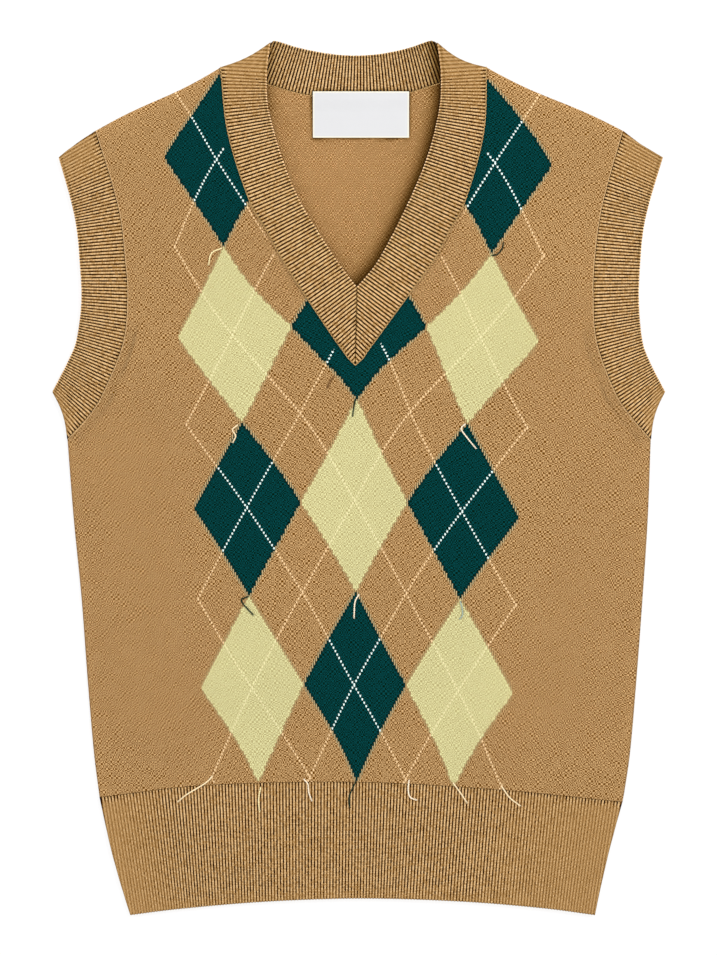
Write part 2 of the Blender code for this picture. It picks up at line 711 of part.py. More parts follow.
def front_neck_rib(side):
    """Ribs that begin at the shoulder fold or the seam and end at the free edge or the mitre."""
    seam = neck_line(side)[::-1]
    fold = neck_fold(side)[::-1]
    edge = side_line(NECK_EDGE, side, evenly(STEPS + 1))[::-1]
    aside = outward(side, -SEAM_GAP / 2)
    vertex = edge[-1] + np.array([aside, 0.0])
    foot = np.array([NECK_SEAM[0][side] + aside, NECK_SEAM[0]["y"] + BLUNT])
    edge[-1] = vertex
    path = joined(shortened(fold, BLUNT, 0.0), shortened(seam, 0.0, BLUNT))
    near, far, marks = cast_ribs(path, lambda at: leaning(NECK_LEAN, "y", at, side),
                                 joined(edge, np.array([vertex, foot])), (vertex,),
                                 FRONT_NECK_RIBS)
    near, mark = snapped(near, seam[0])
    rib_band("front_neck_rib_" + side, near, far, NECK_BED, (fold,), [*marks, mark])


def back_neck_rib():
    """Ribs from the seam to the free edge, the outermost ones to the shoulder folds."""
    seam = back_neck_line()
    edge = across_line(BACK_NECK_EDGE, evenly(STEPS + 1))
    near, far, marks = cast_ribs(
        shortened(seam, BLUNT, BLUNT), lambda at: leaning(BACK_NECK_LEAN, "x", at, "left"),
        joined(neck_fold("left"), edge, neck_fold("right")[::-1]), (edge[0], edge[-1]),
        BACK_NECK_RIBS)
    rib_band("back_neck_rib", near, far, 0.0, (), marks)


# ---- small things --------------------------------------------------------------------------
def neck_label():
    points = []
    for lift in (SEAM_GAP, SEAM_GAP + LABEL["wall"]):
        for row in LABEL_PROFILE:
            y = LABEL["bottom"] + (LABEL["top"] - LABEL["bottom"]) * row["share"]
            points += [(LABEL[side], y, row["bed"] + lift) for side in SIDES]
    rows, half = len(LABEL_PROFILE), 2 * len(LABEL_PROFILE)
    faces = [face[::-1] for face in grid_faces(rows, 2)] + grid_faces(rows, 2, half)
    for a in range(0, half - 2, 2):
        faces.append((a, a + 2, a + 2 + half, a + half))
        faces.append((a + 3, a + 1, a + 1 + half, a + 3 + half))
    faces.append((1, 0, half, half + 1))
    faces.append((half - 2, half - 1, 2 * half - 1, 2 * half - 2))
    put("neck_label", points, faces, "white_woven_label")


def lying_height(place):
    """Top of the front under and just round a place on a yarn end."""
    hem = hem_line()
    reach_x, reach_y = 2.0, 4.0
    around = np.array([place + np.array([dx, dy])
                       for dx in (-reach_x, 0.0, reach_x) for dy in (-reach_y, 0.0, reach_y)])
    height = front_top(around).max()
    if place[1] - reach_y < np.interp(place[0], hem[:, 0], hem[:, 1]):
        height = max(height, BAND_BED + BAND_WALL + RIB_RISE)
    return height


def yarn_end(number, row):
    name = "yarn_end_%02d" % number
    radius = YARN_THICK / 2
    curve = bpy.data.curves.new(name, "CURVE")
    curve.dimensions = "3D"
    curve.bevel_depth = radius * MM
    curve.bevel_resolution = 0
    curve.use_fill_caps = True
    path = smooth_line(row["places"], evenly(3 * len(row["places"])))
    line = curve.splines.new("POLY")
    line.points.add(len(path) - 1)
    for spot, place in zip(line.points, path):
        z = lying_height(place) + SEAM_GAP + radius
        spot.co = (place[0] * MM, place[1] * MM, z * MM, 1.0)
    curve.materials.append(finish(row["yarn"] + "_yarn"))
    made = bpy.data.objects.new(name, curve)
    bpy.context.collection.objects.link(made)


clear_scene()
back_panel()
hem_ribs()
back_neck_rib()
front_panel()
for hand in SIDES:
    armhole_ribs(hand)
    front_neck_rib(hand)
neck_label()
for place_in_list, loose_end in enumerate(YARN_ENDS, start=1):
    yarn_end(place_in_list, loose_end)
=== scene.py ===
"""A knitted V-neck sweater vest laid flat on its back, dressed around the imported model.

Sizes are in millimetres and are turned to metres where a mesh is made. +X is the viewer's
right, +Y runs from the hem to the neck and +Z points up out of the front.
"""
import math
from functools import partialmethod

import bpy
import numpy as np
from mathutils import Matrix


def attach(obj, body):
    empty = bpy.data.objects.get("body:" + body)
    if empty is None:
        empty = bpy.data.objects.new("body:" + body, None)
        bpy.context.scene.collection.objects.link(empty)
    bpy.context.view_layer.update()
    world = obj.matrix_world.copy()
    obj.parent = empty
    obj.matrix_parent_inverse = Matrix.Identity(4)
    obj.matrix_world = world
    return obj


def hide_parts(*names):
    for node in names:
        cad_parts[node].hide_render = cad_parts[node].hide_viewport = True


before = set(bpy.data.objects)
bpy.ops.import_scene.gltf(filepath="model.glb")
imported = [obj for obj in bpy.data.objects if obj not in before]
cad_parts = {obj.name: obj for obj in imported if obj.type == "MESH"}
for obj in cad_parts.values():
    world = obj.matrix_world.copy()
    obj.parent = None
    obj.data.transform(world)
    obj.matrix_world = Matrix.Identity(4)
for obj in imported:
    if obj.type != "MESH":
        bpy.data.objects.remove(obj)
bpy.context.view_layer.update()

MM = 0.001
SIDES = ("left", "right")


# ---- the table, the lamps and the camera ---------------------------------------------------
# The vest lies on a smooth white light table. One lamp stands at its upper right, a wide one
# fills in from the left, and pale light comes from all round. The camera hangs straight above.
TABLE_SIZE = 8000.0
TABLE_DROP = 0.3          # the table's top under the vest's lowest points
TABLE_GLOW = 0.80         # it is lit from below as well, so that it holds no shadow
CAMERA = {"lens": 85.0, "sensor": 36.0, "sees": 716.25, "x": -0.15, "y": 0.0}
ROOM_LIGHT = 0.62


def rows_of(columns, *rows):
    """A table's rows, with each value under its column's name."""
    return [dict(zip(columns.split(), row)) for row in rows]


LAMPS = rows_of(
    "name x y z size watts",
    ("key_lamp", 900.0, 900.0, 1500.0, 600.0, 21.0),
    ("fill_lamp", -1500.0, 300.0, 1300.0, 1500.0, 12.0),
    ("low_lamp", 0.0, -1700.0, 1300.0, 1500.0, 9.0),
)


def placed(name, data):
    """A new object in the scene."""
    made = bpy.data.objects.new(name, data)
    bpy.context.collection.objects.link(made)
    return made


def new_piece(name, points, faces, materials):
    """A piece in the scene, from its points in millimetres and its faces."""
    mesh = bpy.data.meshes.new(name)
    mesh.from_pydata((np.array(points) * MM).tolist(), [], faces)
    for material in materials:
        mesh.materials.append(material)
    return placed(name, mesh)


table_paint = bpy.data.materials.new("white_table_paint")
table_paint.use_nodes = True
paint = table_paint.node_tree.nodes["Principled BSDF"].inputs
paint["Base Color"].default_value = (0.20, 0.20, 0.20, 1.0)
paint["Emission Color"].default_value = (1.0, 1.0, 1.0, 1.0)
paint["Emission Strength"].default_value = TABLE_GLOW
paint["Roughness"].default_value = 0.85
paint["Specular IOR Level"].default_value = 0.2
half = TABLE_SIZE / 2
corners = [(-half, -half), (half, -half), (half, half), (-half, half)]
table = new_piece("white_table", [(x, y, -TABLE_DROP) for x, y in corners], [(0, 1, 2, 3)],
                  [table_paint])

room = bpy.data.worlds.new("white_room")
room.use_nodes = True
room_glow = room.node_tree.nodes["Background"].inputs
room_glow["Color"].default_value = (1.0, 1.0, 1.0, 1.0)
room_glow["Strength"].default_value = ROOM_LIGHT
bpy.context.scene.world = room
bpy.context.scene.view_settings.view_transform = "Standard"

for row in LAMPS:
    lamp_data = bpy.data.lights.new(row["name"], "AREA")
    lamp_data.shape = "DISK"
    lamp_data.size = row["size"] * MM
    lamp_data.energy = row["watts"]
    lamp = placed(row["name"], lamp_data)
    lamp.location = np.array([row["x"], row["y"], row["z"]]) * MM
    flat_run = math.hypot(row["x"], row["y"])
    lamp.rotation_euler = (0.0, math.atan2(flat_run, row["z"]), math.atan2(row["y"], row["x"]))

camera_data = bpy.data.cameras.new("overhead_camera")
camera_data.lens = CAMERA["lens"]
camera_data.sensor_width = CAMERA["sensor"]
camera_data.clip_end = 50.0
camera = placed("overhead_camera", camera_data)
camera_height = CAMERA["sees"] * CAMERA["lens"] / CAMERA["sensor"]
camera.location = (CAMERA["x"] * MM, CAMERA["y"] * MM, camera_height * MM)
bpy.context.scene.camera = camera


# ---- back panel ----------------------------------------------------------------------------
# The back is one piece of plain knit in camel yarn, lying flat on the table. Its inside, the
# purl face, shows in the neck opening; its outside, the plain face, is underneath.
SEAM_GAP = 0.3
PANEL_WALL = 2.0
WALE = 1.6                # width of a plain stitch
COURSE = 1.25             # height of a plain stitch
STITCH_RELIEF = 0.35      # how far a stitch stands out of the cloth
CAMEL = (0.490, 0.287, 0.114)
# Painted shade between the yarns and painted light on their legs, spread by random grain.
DARK_OF_STITCH = (0.32, 0.20, 0.02)      # times the yarn's colour
LIGHT_OF_STITCH = (1.39, 1.53, 1.76)
GRAIN_ACROSS = 0.82       # cells of uneven colour in each wale
GRAIN_UP = 0.71           # and in each course
GRAIN = (-1.2, 3.2)       # how dark and how light their quarters get
PURL_CAMEL = (0.545, 0.318, 0.130)
# Painted shade between the purl bumps and painted light on them, spread by random grain.
DARK_OF_PURL = (0.40, 0.27, 0.06)
LIGHT_OF_PURL = (1.62, 1.83, 2.20)
SIDE_SEAM = rows_of(      # from the hem rib up to the underarm
    "y left right",
    (-239.0, -194.0, 198.3),
    (-205.0, -198.3, 203.2),
    (-150.0, -203.0, 208.0),
    (-90.0, -207.5, 212.5),
    (-30.0, -213.4, 216.4),
    (28.5, -218.0, 218.6),
)
ARMHOLE_SEAM = rows_of(   # from the underarm up to the shoulder
    "y left right",
    (28.5, -218.0, 218.6),
    (47.0, -201.2, 202.6),
    (65.0, -190.4, 191.3),
    (102.0, -176.0, 178.0),
    (138.0, -173.0, 175.6),
    (163.0, -174.8, 176.6),
    (194.0, -178.2, 180.4),
    (225.0, -186.0, 187.8),
    (259.5, -197.0, 197.8),
)
NECK_SEAM = rows_of(      # from the point of the V up to the shoulder
    "y left right",
    (84.0, -2.6, -2.6),
    (84.5, -4.7, -0.3),
    (88.1, -7.2, 2.6),
    (93.0, -10.4, 5.6),
    (102.5, -17.5, 12.6),
    (136.5, -40.3, 37.4),
    (163.0, -57.2, 56.5),
    (184.0, -68.6, 67.6),
    (207.5, -81.9, 79.8),
    (258.0, -97.8, 93.4),
    (307.0, -103.3, 95.6),
)
NECK_EDGE = rows_of(      # free edge of the front neck ribs, from the V up to the shoulder
    "y left right",
    (142.1, -1.3, -1.3),
    (163.1, -17.0, 15.2),
    (204.0, -42.6, 36.4),
    (240.0, -57.6, 51.4),
    (276.0, -67.6, 60.4),
    (302.0, -68.8, 61.5),
    (325.5, -66.2, 58.8),
)
BACK_NECK_SEAM = rows_of(  # left to right
    "x y",
    (-103.3, 307.0),
    (-68.0, 294.8),
    (-37.3, 286.5),
    (-3.0, 284.2),
    (30.0, 286.8),
    (60.2, 295.6),
    (95.6, 307.0),
)
HEM_SEAM = rows_of(       # where the body ends and the hem rib begins, left to right
    "x y",
    (-194.0, -239.0),
    (-114.5, -230.0),
    (-3.5, -227.6),
    (100.0, -233.0),
    (197.4, -242.5),
)
NECK_SHADES = rows_of(    # painted shadow of each front neck rib on the back: a dark line, faint further off
    "side dark wide haze haze_wide",
    ("right", 0.80, 7.0, 0.22, 18.0),
    ("left", 0.30, 6.0, 0.16, 12.0),
)
HIGH_NECK = {"from": 262.0, "over": 15.0}    # the left rib's dark line sets in here
LABEL_SHADE = {"dark": 0.85, "wide": 1.2}
SHOULDER_SWING = 1.1      # the shoulder seam rises this much by the armhole and dips by the neck
SHOULDER_DIP = 0.5        # and sinks this much in its middle
LABEL = {"left": -34.3, "right": 37.7, "top": 289.0, "bottom": 254.5, "wall": 0.5}
COLUMN_SHARES = [0.0, 0.008, 0.045, 0.14, 0.24, 0.34, 0.44, 0.54, 0.64, 0.74, 0.83, 0.92, 1.0]
YOKE_SHARES = [0.0, 0.08, 0.16, 0.25, 0.34, 0.43, 0.52, 0.61, 0.70, 0.79, 0.88, 0.96, 1.0]
BODY_STEPS = 10
CHEST_STEPS = 2
ROW_CUTS = 8              # each step of the panels is cut into this many rows
COLUMN_CUTS = 5
ROUND_CUT = ((0.85, 0.15), (0.5, 0.3), (0.15, 0.1))    # rings of a rounded cut edge
PLAIN_CUT = ((0.7, 0.08), (0.3, 0.08))                 # and of a nearly straight one


def run_along(line):
    """How far each place of a line is from its start, measured along it."""
    return np.concatenate([[0.0], np.cumsum(np.linalg.norm(np.diff(line, axis=0), axis=1))])


def spread(line, shares):
    """Points of a polyline at the given shares of its length."""
    run = run_along(line)
    at = np.asarray(shares) * run[-1]
    return np.column_stack([np.interp(at, run, line[:, k]) for k in range(line.shape[1])])


def evenly(count):
    return np.linspace(0.0, 1.0, count)


def finer(shares, cuts):
    """The same shares with every step cut into equal smaller ones."""
    steps = len(shares) - 1
    return np.interp(np.linspace(0, steps, steps * cuts + 1), np.arange(steps + 1), shares)


def smooth_line(places, shares):
    """A cubic curve through the places, read at the given shares of its length."""
    p = np.array(places, float)
    p = np.vstack([2 * p[0] - p[1], p, 2 * p[-1] - p[-2]])
    fine = []
    for a, b, c, d in zip(p, p[1:], p[2:], p[3:]):
        t = np.linspace(0.0, 1.0, 24, endpoint=False)[:, None]
        bend = 2 * a - 5 * b + 4 * c - d
        twist = -a + 3 * b - 3 * c + d
        fine.append(0.5 * (2 * b + (c - a) * t + bend * t * t + twist * t ** 3))
    fine.append(p[-2:-1])
    return spread(np.vstack(fine), shares)


def side_line(table, side, shares):
    return smooth_line([(row[side], row["y"]) for row in table], shares)


def across_line(table, shares):
    return smooth_line([(row["x"], row["y"]) for row in table], shares)


def joined(*parts):
    return np.vstack([parts[0]] + [part[1:] for part in parts[1:]])


def ways_of(line):
    """A unit step along the line at each of its places."""
    way = np.gradient(line, axis=0)
    return way / np.linalg.norm(way, axis=1)[:, None]


def moved_aside(line, by):
    """The line moved to the left of its own direction."""
    way = ways_of(line)
    return line + np.column_stack([-way[:, 1], way[:, 0]]) * by


def outward(side, by):
    """A distance away from the middle, for a line that runs up the given side."""
    return by if side == "left" else -by


def armhole_line(side):
    return side_line(ARMHOLE_SEAM, side, finer(YOKE_SHARES, ROW_CUTS))


def neck_line(side):
    """From the point of the V up to the shoulder, one place for each row over the chest."""
    shares = finer(YOKE_SHARES[:1] + YOKE_SHARES[CHEST_STEPS + 1:], ROW_CUTS)
    return side_line(NECK_SEAM, side, shares)


def hem_half(side):
    """The hem seam's half, from its outer end to the middle."""
    whole = across_line(HEM_SEAM, evenly(641))
    half_of_it = whole[:321] if side == "left" else whole[320:][::-1]
    return spread(half_of_it, finer(COLUMN_SHARES, COLUMN_CUTS))


def hem_line():
    return joined(hem_half("left"), hem_half("right")[::-1])


def shoulder_line(side, count):
    ends = np.array([armhole_line(side)[-1], neck_line(side)[-1]])
    line = spread(ends, evenly(count))
    turn = np.pi * evenly(count)
    line[:, 1] += SHOULDER_SWING * np.sin(2 * turn) - SHOULDER_DIP * np.sin(turn)
    return line


def panel_half(side, inner, top):
    """Grid of half a panel; each row runs from the outer seam to the inner rail."""
    low = hem_half(side)
    body = side_line(SIDE_SEAM, side, evenly(BODY_STEPS * ROW_CUTS + 1))
    body[0] = low[0]
    outer = joined(body, armhole_line(side))
    share = finer(COLUMN_SHARES, COLUMN_CUTS)[:, None]
    low_bow = low - (low[0] + (low[-1] - low[0]) * share)
    top_bow = top - (top[0] + (top[-1] - top[0]) * share)
    grid = []
    for v, start, end in zip(evenly(len(outer)), outer, inner):
        straight = start + (end - start) * share
        grid.append(straight + low_bow * (1 - v) ** 2 + top_bow * v ** 6)
    return np.array(grid)


def grid_faces(rows, columns):
    a = (np.arange(rows - 1)[:, None] * columns + np.arange(columns - 1)[None, :]).ravel()
    return np.column_stack([a, a + 1, a + columns + 1, a + columns])


def facing_up(places, faces):
    """The same faces, each turned so that it faces up."""
    ring = places[faces]
    after = np.roll(ring, -1, axis=1)
    area = (ring[:, :, 0] * after[:, :, 1] - after[:, :, 0] * ring[:, :, 1]).sum(axis=1)
    faces = faces.copy()
    faces[area < 0] = faces[area < 0][:, ::-1]
    return faces


def welded(patches):
    """Places and faces of several grids that share their common edges."""
    faces, start = [], 0
    for patch in patches:
        faces.append(grid_faces(*patch.shape[:2]) + start)
        start += patch.shape[0] * patch.shape[1]
    places = np.vstack([patch.reshape(-1, 2) for patch in patches])
    _, first, index = np.unique(np.round(places, 4), axis=0, return_index=True,
                                return_inverse=True)
    return places[first], facing_up(places[first], index.ravel()[np.vstack(faces)])


def closed_cloth(name, top, under, faces, maps, finishes, edge=((0.5, 0.0),)):
    """One closed shell: its top points, the points under them, and its cut edge.

    maps gives a pair of numbers for each top point under each map's name. finishes are the
    looks of the top and of the underside. edge lists the rings between them, each with
    its share of the height and how far it bulges out.
    """
    count = len(top)
    ahead = np.column_stack([faces.ravel(), np.roll(faces, -1, axis=1).ravel()])
    forward, backward = ahead[:, 0] * count + ahead[:, 1], ahead[:, 1] * count + ahead[:, 0]
    rim = ahead[~np.isin(forward, backward)]
    follows = dict(rim.tolist())
    comes_from = {b: a for a, b in follows.items()}
    points, shell = [top, under], [faces, faces[:, ::-1] + count]
    source = [np.arange(count), np.arange(count)]
    corner = np.array(sorted(follows))
    before = np.array([comes_from[k] for k in corner])
    after = np.array([follows[k] for k in corner])
    way = top[after, :2] - top[before, :2]
    way = way / np.maximum(np.linalg.norm(way, axis=1), 1e-9)[:, None]
    out = np.column_stack([way[:, 1], -way[:, 0]])
    place_of = {k: n for n, k in enumerate(corner.tolist())}
    rings, start = [corner], 2 * count
    for share, bulge in edge:
        ring = under[corner] + (top[corner] - under[corner]) * share
        ring[:, :2] = ring[:, :2] + out * bulge
        points.append(ring)
        source.append(corner)
        rings.append(start + np.arange(len(corner)))
        start += len(corner)
    rings.append(corner + count)
    a = np.array([place_of[k] for k in rim[:, 0].tolist()])
    b = np.array([place_of[k] for k in rim[:, 1].tolist()])
    for high, low in zip(rings, rings[1:]):
        shell.append(np.column_stack([high[b], high[a], low[a], low[b]]))
    points, shell, source = np.vstack(points), np.vstack(shell), np.concatenate(source)
    piece = new_piece(name, points, shell.tolist(), [finish.material for finish in finishes])
    mesh = piece.data
    side = np.zeros(len(shell), int)
    side[len(faces):2 * len(faces)] = len(finishes) - 1
    mesh.polygons.foreach_set("material_index", side)
    mesh.validate()
    for map_name, values in maps.items():
        layer = mesh.uv_layers.new(name=map_name)
        layer.uv.foreach_set("vector", values[source][shell.ravel()].astype(np.float32).ravel())
    mesh.shade_smooth()
    mesh.set_sharp_from_angle(angle=math.radians(55.0))
    return piece


class Value:
    """A number, colour or place that a material's nodes work out.

    Plain sums of values add the nodes that work out their results.
    """

    def __init__(self, socket):
        self.socket = socket
        self.tree = socket.id_data

    def by(self, operation, *others):
        """The result of a maths node."""
        inputs = dict(enumerate([self, *others]))
        return new_node(self.tree, "Math", inputs, operation=operation)

    __add__ = partialmethod(by, "ADD")
    __sub__ = partialmethod(by, "SUBTRACT")
    __mul__ = partialmethod(by, "MULTIPLY")
    __pow__ = partialmethod(by, "POWER")
    __mod__ = partialmethod(by, "FLOORED_MODULO")
    __lt__ = partialmethod(by, "LESS_THAN")
    __gt__ = partialmethod(by, "GREATER_THAN")
    __abs__ = partialmethod(by, "ABSOLUTE")
    __floor__ = partialmethod(by, "FLOOR")
    __round__ = partialmethod(by, "ROUND")
    part = partialmethod(by, "FRACT")

    def wave(self):
        """Half a sine wave for each whole step."""
        return (self.part() * math.pi).by("SINE")

    def from_middle(self):
        """0 in the middle of each whole step and 1 at its ends."""
        return abs(self.part() * 2.0 - 1.0)

    def between(self, low, high):
        """low where the value is 0 and high where it is 1."""
        return self * (high - low) + low

    def eased(self, low, high):
        """0 below low and 1 above high, with a soft step between."""
        ends = {"Value": self, "From Min": low, "From Max": high}
        return new_node(self.tree, "MapRange", ends, interpolation_type="SMOOTHSTEP")


def join(value, socket):
    """A socket gets a fixed value, or a link from the node that works it out."""
    if isinstance(value, Value):
        value.tree.links.new(value.socket, socket)
    else:
        socket.default_value = value


def new_node(tree, kind, inputs, output=0, **settings):
    """The value that a new node gives at one of its outputs."""
    node = tree.nodes.new("ShaderNode" + kind)
    for name, setting in settings.items():
        setattr(node, name, setting)
    for key, value in inputs.items():
        join(value, node.inputs[key])
    return Value(node.outputs[output])


def triple(x, y, z):
    """Three values as one place or colour."""
    return new_node(x.tree, "CombineXYZ", {"X": x, "Y": y, "Z": z})


def chance(a, b, offset=0.0):
    """An even random number for each pair of whole numbers."""
    return new_node(a.tree, "TexWhiteNoise", {"Vector": triple(a, b, offset)})


def dyed(colour, strength):
    """A colour made lighter or darker by a worked-out strength."""
    inputs = {0: colour, "Scale": strength}
    return new_node(strength.tree, "VectorMath", inputs, operation="SCALE")


def tinted(colour, tint):
    """Two colours multiplied, channel by channel."""
    return new_node(tint.tree, "VectorMath", {0: colour, 1: tint}, operation="MULTIPLY")


def shaded(colour, shade, green=1.15, blue=1.6):
    """A colour in shade. Yarn looks the redder the darker it gets."""
    return tinted(colour, triple(shade, shade ** green, shade ** blue))


def either(share, first, second):
    """The first colour where share is 0 and the second where it is 1."""
    first, second = [(*colour, 1.0) if isinstance(colour, tuple) else colour
                     for colour in (first, second)]
    return new_node(share.tree, "Mix", {0: share, 6: first, 7: second}, 2, data_type="RGBA")


class Finish:
    """The look of a cloth or yarn, put together from values that its nodes work out."""

    def __init__(self, name, sheen=0.01, sheen_tint=(1.0, 0.90, 0.74), gloss=0.02):
        self.material = bpy.data.materials.new(name)
        self.material.use_nodes = True
        self.tree = self.material.node_tree
        self.shader = self.tree.nodes["Principled BSDF"].inputs
        self.shader["Metallic"].default_value = 0.0
        self.shader["Specular IOR Level"].default_value = gloss
        self.shader["Sheen Weight"].default_value = sheen
        self.shader["Sheen Roughness"].default_value = 0.45
        self.shader["Sheen Tint"].default_value = (*sheen_tint, 1.0)
        self.shader["Diffuse Roughness"].default_value = 0.6

    def pair(self, map_name):
        """The pair of numbers that a map gives each point."""
        place = new_node(self.tree, "UVMap", {}, uv_map=map_name)
        return [new_node(self.tree, "SeparateXYZ", {0: place}, axis) for axis in "XY"]

    def cloud(self, scale, detail=2.0, offset=0.0):
        """Soft noise fixed to the piece, about 0 to 1. scale is in lumps per metre."""
        place = new_node(self.tree, "TexCoord", {}, "Object")
        place = new_node(self.tree, "VectorMath", {0: place, 1: (offset,) * 3}, operation="ADD")
        noise = {"Vector": place, "Scale": scale, "Detail": detail}
        return new_node(self.tree, "TexNoise", noise)

    def wander(self, value, scale, by, offset=0.0):
        """A value moved up and down by soft noise, by up to half of the given amount."""
        return value + (self.cloud(scale, offset=offset) - 0.5) * by

    def fuzzy(self, lit):
        """Light on a yarn, uneven for the fuzz of its fibres."""
        return lit * self.cloud(1250.0, 1.0, 5.0).between(0.75, 1.25)

    def slow_change(self):
        """Slight changes of colour over the whole garment."""
        return self.cloud(14.0, 2.0, 1.0).between(0.95, 1.05)

    def dress(self, colour, height, depth, roughness=None):
        """Joins the colour and the relief, whose depth is in millimetres, to the shader."""
        if roughness is None:
            roughness = self.cloud(900.0, 1.0, 7.0).between(0.82, 0.98)
        relief = {"Strength": 1.0, "Distance": depth * MM, "Filter Width": 0.3, "Height": height}
        join(colour, self.shader["Base Color"])
        join(roughness, self.shader["Roughness"])
        join(new_node(self.tree, "Bump", relief), self.shader["Normal"])


def four_cells(across, up):
    """A random share for each quarter of a cell: two opposite ones as light as the others are dark."""
    first = chance(math.floor(across), math.floor(up))
    beside = math.floor(across.part() * 2.0)
    above = math.floor(up.part() * 2.0)
    return abs(abs(beside - above) - first)


def plain_stitches(finish, wales, courses):
    """The V stitches of plain knit.

    Gives each point's wale, its place up the slanted legs in courses, its height in its
    stitch, and the shade between the yarns.
    """
    across = finish.wander(wales, 260.0, 0.3)
    up = finish.wander(courses, 230.0, 0.3, offset=3.1)
    from_middle = across.from_middle()
    run_up = up - from_middle * 0.5
    leg = run_up.wave()
    twin = (from_middle * math.pi).by("COSINE").between(0.5, 1.0).between(0.5, 1.0)
    own = four_cells(across * GRAIN_ACROSS, up * GRAIN_UP)
    lit = finish.fuzzy(leg.between(0.25, 1.0) * twin * own.between(*GRAIN))
    return math.floor(across), run_up, leg * twin, either(lit, DARK_OF_STITCH, LIGHT_OF_STITCH)


camel_plain = Finish("camel_plain_knit_face")
_, _, height, shade = plain_stitches(camel_plain, *camel_plain.pair("stitches"))
colour = dyed(tinted(CAMEL, shade), camel_plain.slow_change())
camel_plain.dress(colour, height, STITCH_RELIEF)

camel_purl = Finish("camel_purl_knit_face")
wales, courses = camel_purl.pair("stitches")
across = camel_purl.wander(wales, 240.0, 0.8)
up = camel_purl.wander(courses, 220.0, 0.8, offset=2.0)
bump = (up - across.wave() * 0.5).wave() ** 0.8
own = four_cells(across, up * 0.75)
# Painted light on each purl bump and painted shade between them, spread by random grain.
lit = camel_purl.fuzzy(bump * own.between(-0.4, 1.3))
colour = tinted(PURL_CAMEL, either(lit, DARK_OF_PURL, LIGHT_OF_PURL))
colour = shaded(colour, camel_purl.pair("shade")[0] * camel_purl.slow_change())
camel_purl.dress(colour, bump, STITCH_RELIEF)


def distance_to(line, places):
    """Distance from each place to a polyline."""
    best = np.full(places.shape[:-1], np.inf)
    for a, b in zip(line, line[1:]):
        along = b - a
        t = np.clip(((places - a) @ along) / max(along @ along, 1e-9), 0.0, 1.0)
        foot = a + t[..., None] * along
        best = np.minimum(best, np.linalg.norm(places - foot, axis=-1))
    return best


def close_to(off, width):
    """1 on a line, and less the further off it, down to nothing at three of its widths."""
    return np.exp(-(off / width) ** 2)


def neck_shade(places):
    """The back is in the shade of the neck ribs, most at the right where the lamp stands."""
    x, y = places[..., 0], places[..., 1]
    high = np.clip((y - HIGH_NECK["from"]) / HIGH_NECK["over"], 0.0, 1.0)
    close, haze = 1.0, 1.0
    for row in NECK_SHADES:
        off = distance_to(side_line(NECK_EDGE, row["side"], evenly(33)), places)
        dark = row["dark"] * (high if row["side"] == "left" else 1.0)
        close = close * (1.0 - dark * close_to(off, row["wide"]))
        haze = haze - row["haze"] * np.exp(-off / row["haze_wide"])
    off = np.hypot(np.maximum(np.maximum(LABEL["left"] - x, x - LABEL["right"]), 0.0),
                   np.maximum(np.maximum(LABEL["bottom"] - y, y - LABEL["top"]), 0.0))
    return close * haze * (1.0 - LABEL_SHADE["dark"] * close_to(off, LABEL_SHADE["wide"]))


back_neck = across_line(BACK_NECK_SEAM, evenly(12 * COLUMN_CUTS + 1)) - np.array([0.0, SEAM_GAP])
middle_of_neck = len(back_neck) // 2
halves = []
for side in SIDES:
    its_neck = back_neck[:middle_of_neck + 1]
    if side == "right":
        its_neck = back_neck[middle_of_neck:][::-1]
    columns = (len(COLUMN_SHARES) - 1) * COLUMN_CUTS + 1
    shoulder = shoulder_line(side, columns - len(its_neck) + 1)
    shoulder[-1] = its_neck[0]
    rows = (BODY_STEPS + len(YOKE_SHARES) - 1) * ROW_CUTS + 1
    rail = spread(np.array([hem_half(side)[-1], back_neck[middle_of_neck]]), evenly(rows))
    halves.append(panel_half(side, rail, joined(shoulder, its_neck)))
places, faces = welded(halves)
top = np.column_stack([places, np.full(len(places), PANEL_WALL)])
under = np.column_stack([places, np.zeros(len(places))])
maps = {"stitches": places / np.array([WALE, COURSE]),
        "shade": np.column_stack([neck_shade(places)] * 2)}
back_cloth = closed_cloth("back_cloth", top, under, faces, maps, [camel_purl, camel_plain],
                          edge=ROUND_CUT)
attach(back_cloth, "root")
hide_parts("back_panel")


# ---- back neck rib -------------------------------------------------------------------------
# A strip of 1x1 rib in camel yarn, linked to the back neck. It stands up from the seam to its
# free edge, and its inside face shows, as deep grooves between round ribs.
BAND_WALL = 2.2
RIB_RISE = 0.8
GROOVE_DIP = 0.4          # the grooves are this much deeper than the band's wall
RIDGE_LEAD = 0.3          # the ridges stand out this much past the grooves at the free edge
FREE_EDGE_ROLL = 1.5
FREE_EDGE_SHARE = 0.55    # share of the height that is left at the free edge
UNDER_SHARE = 0.35        # and how much of it the underside rises there
FOLD_ROLL = 3.0
FOLD_SHARE = 0.45         # share of the height that is left where a band folds over
BLUNT = 1.5               # how far a band's cut-off ribs stop short of a sharp corner
RIB_RELIEF = 0.30         # how far a stitch stands out of its rib
GROOVE_SHADE = 0.05
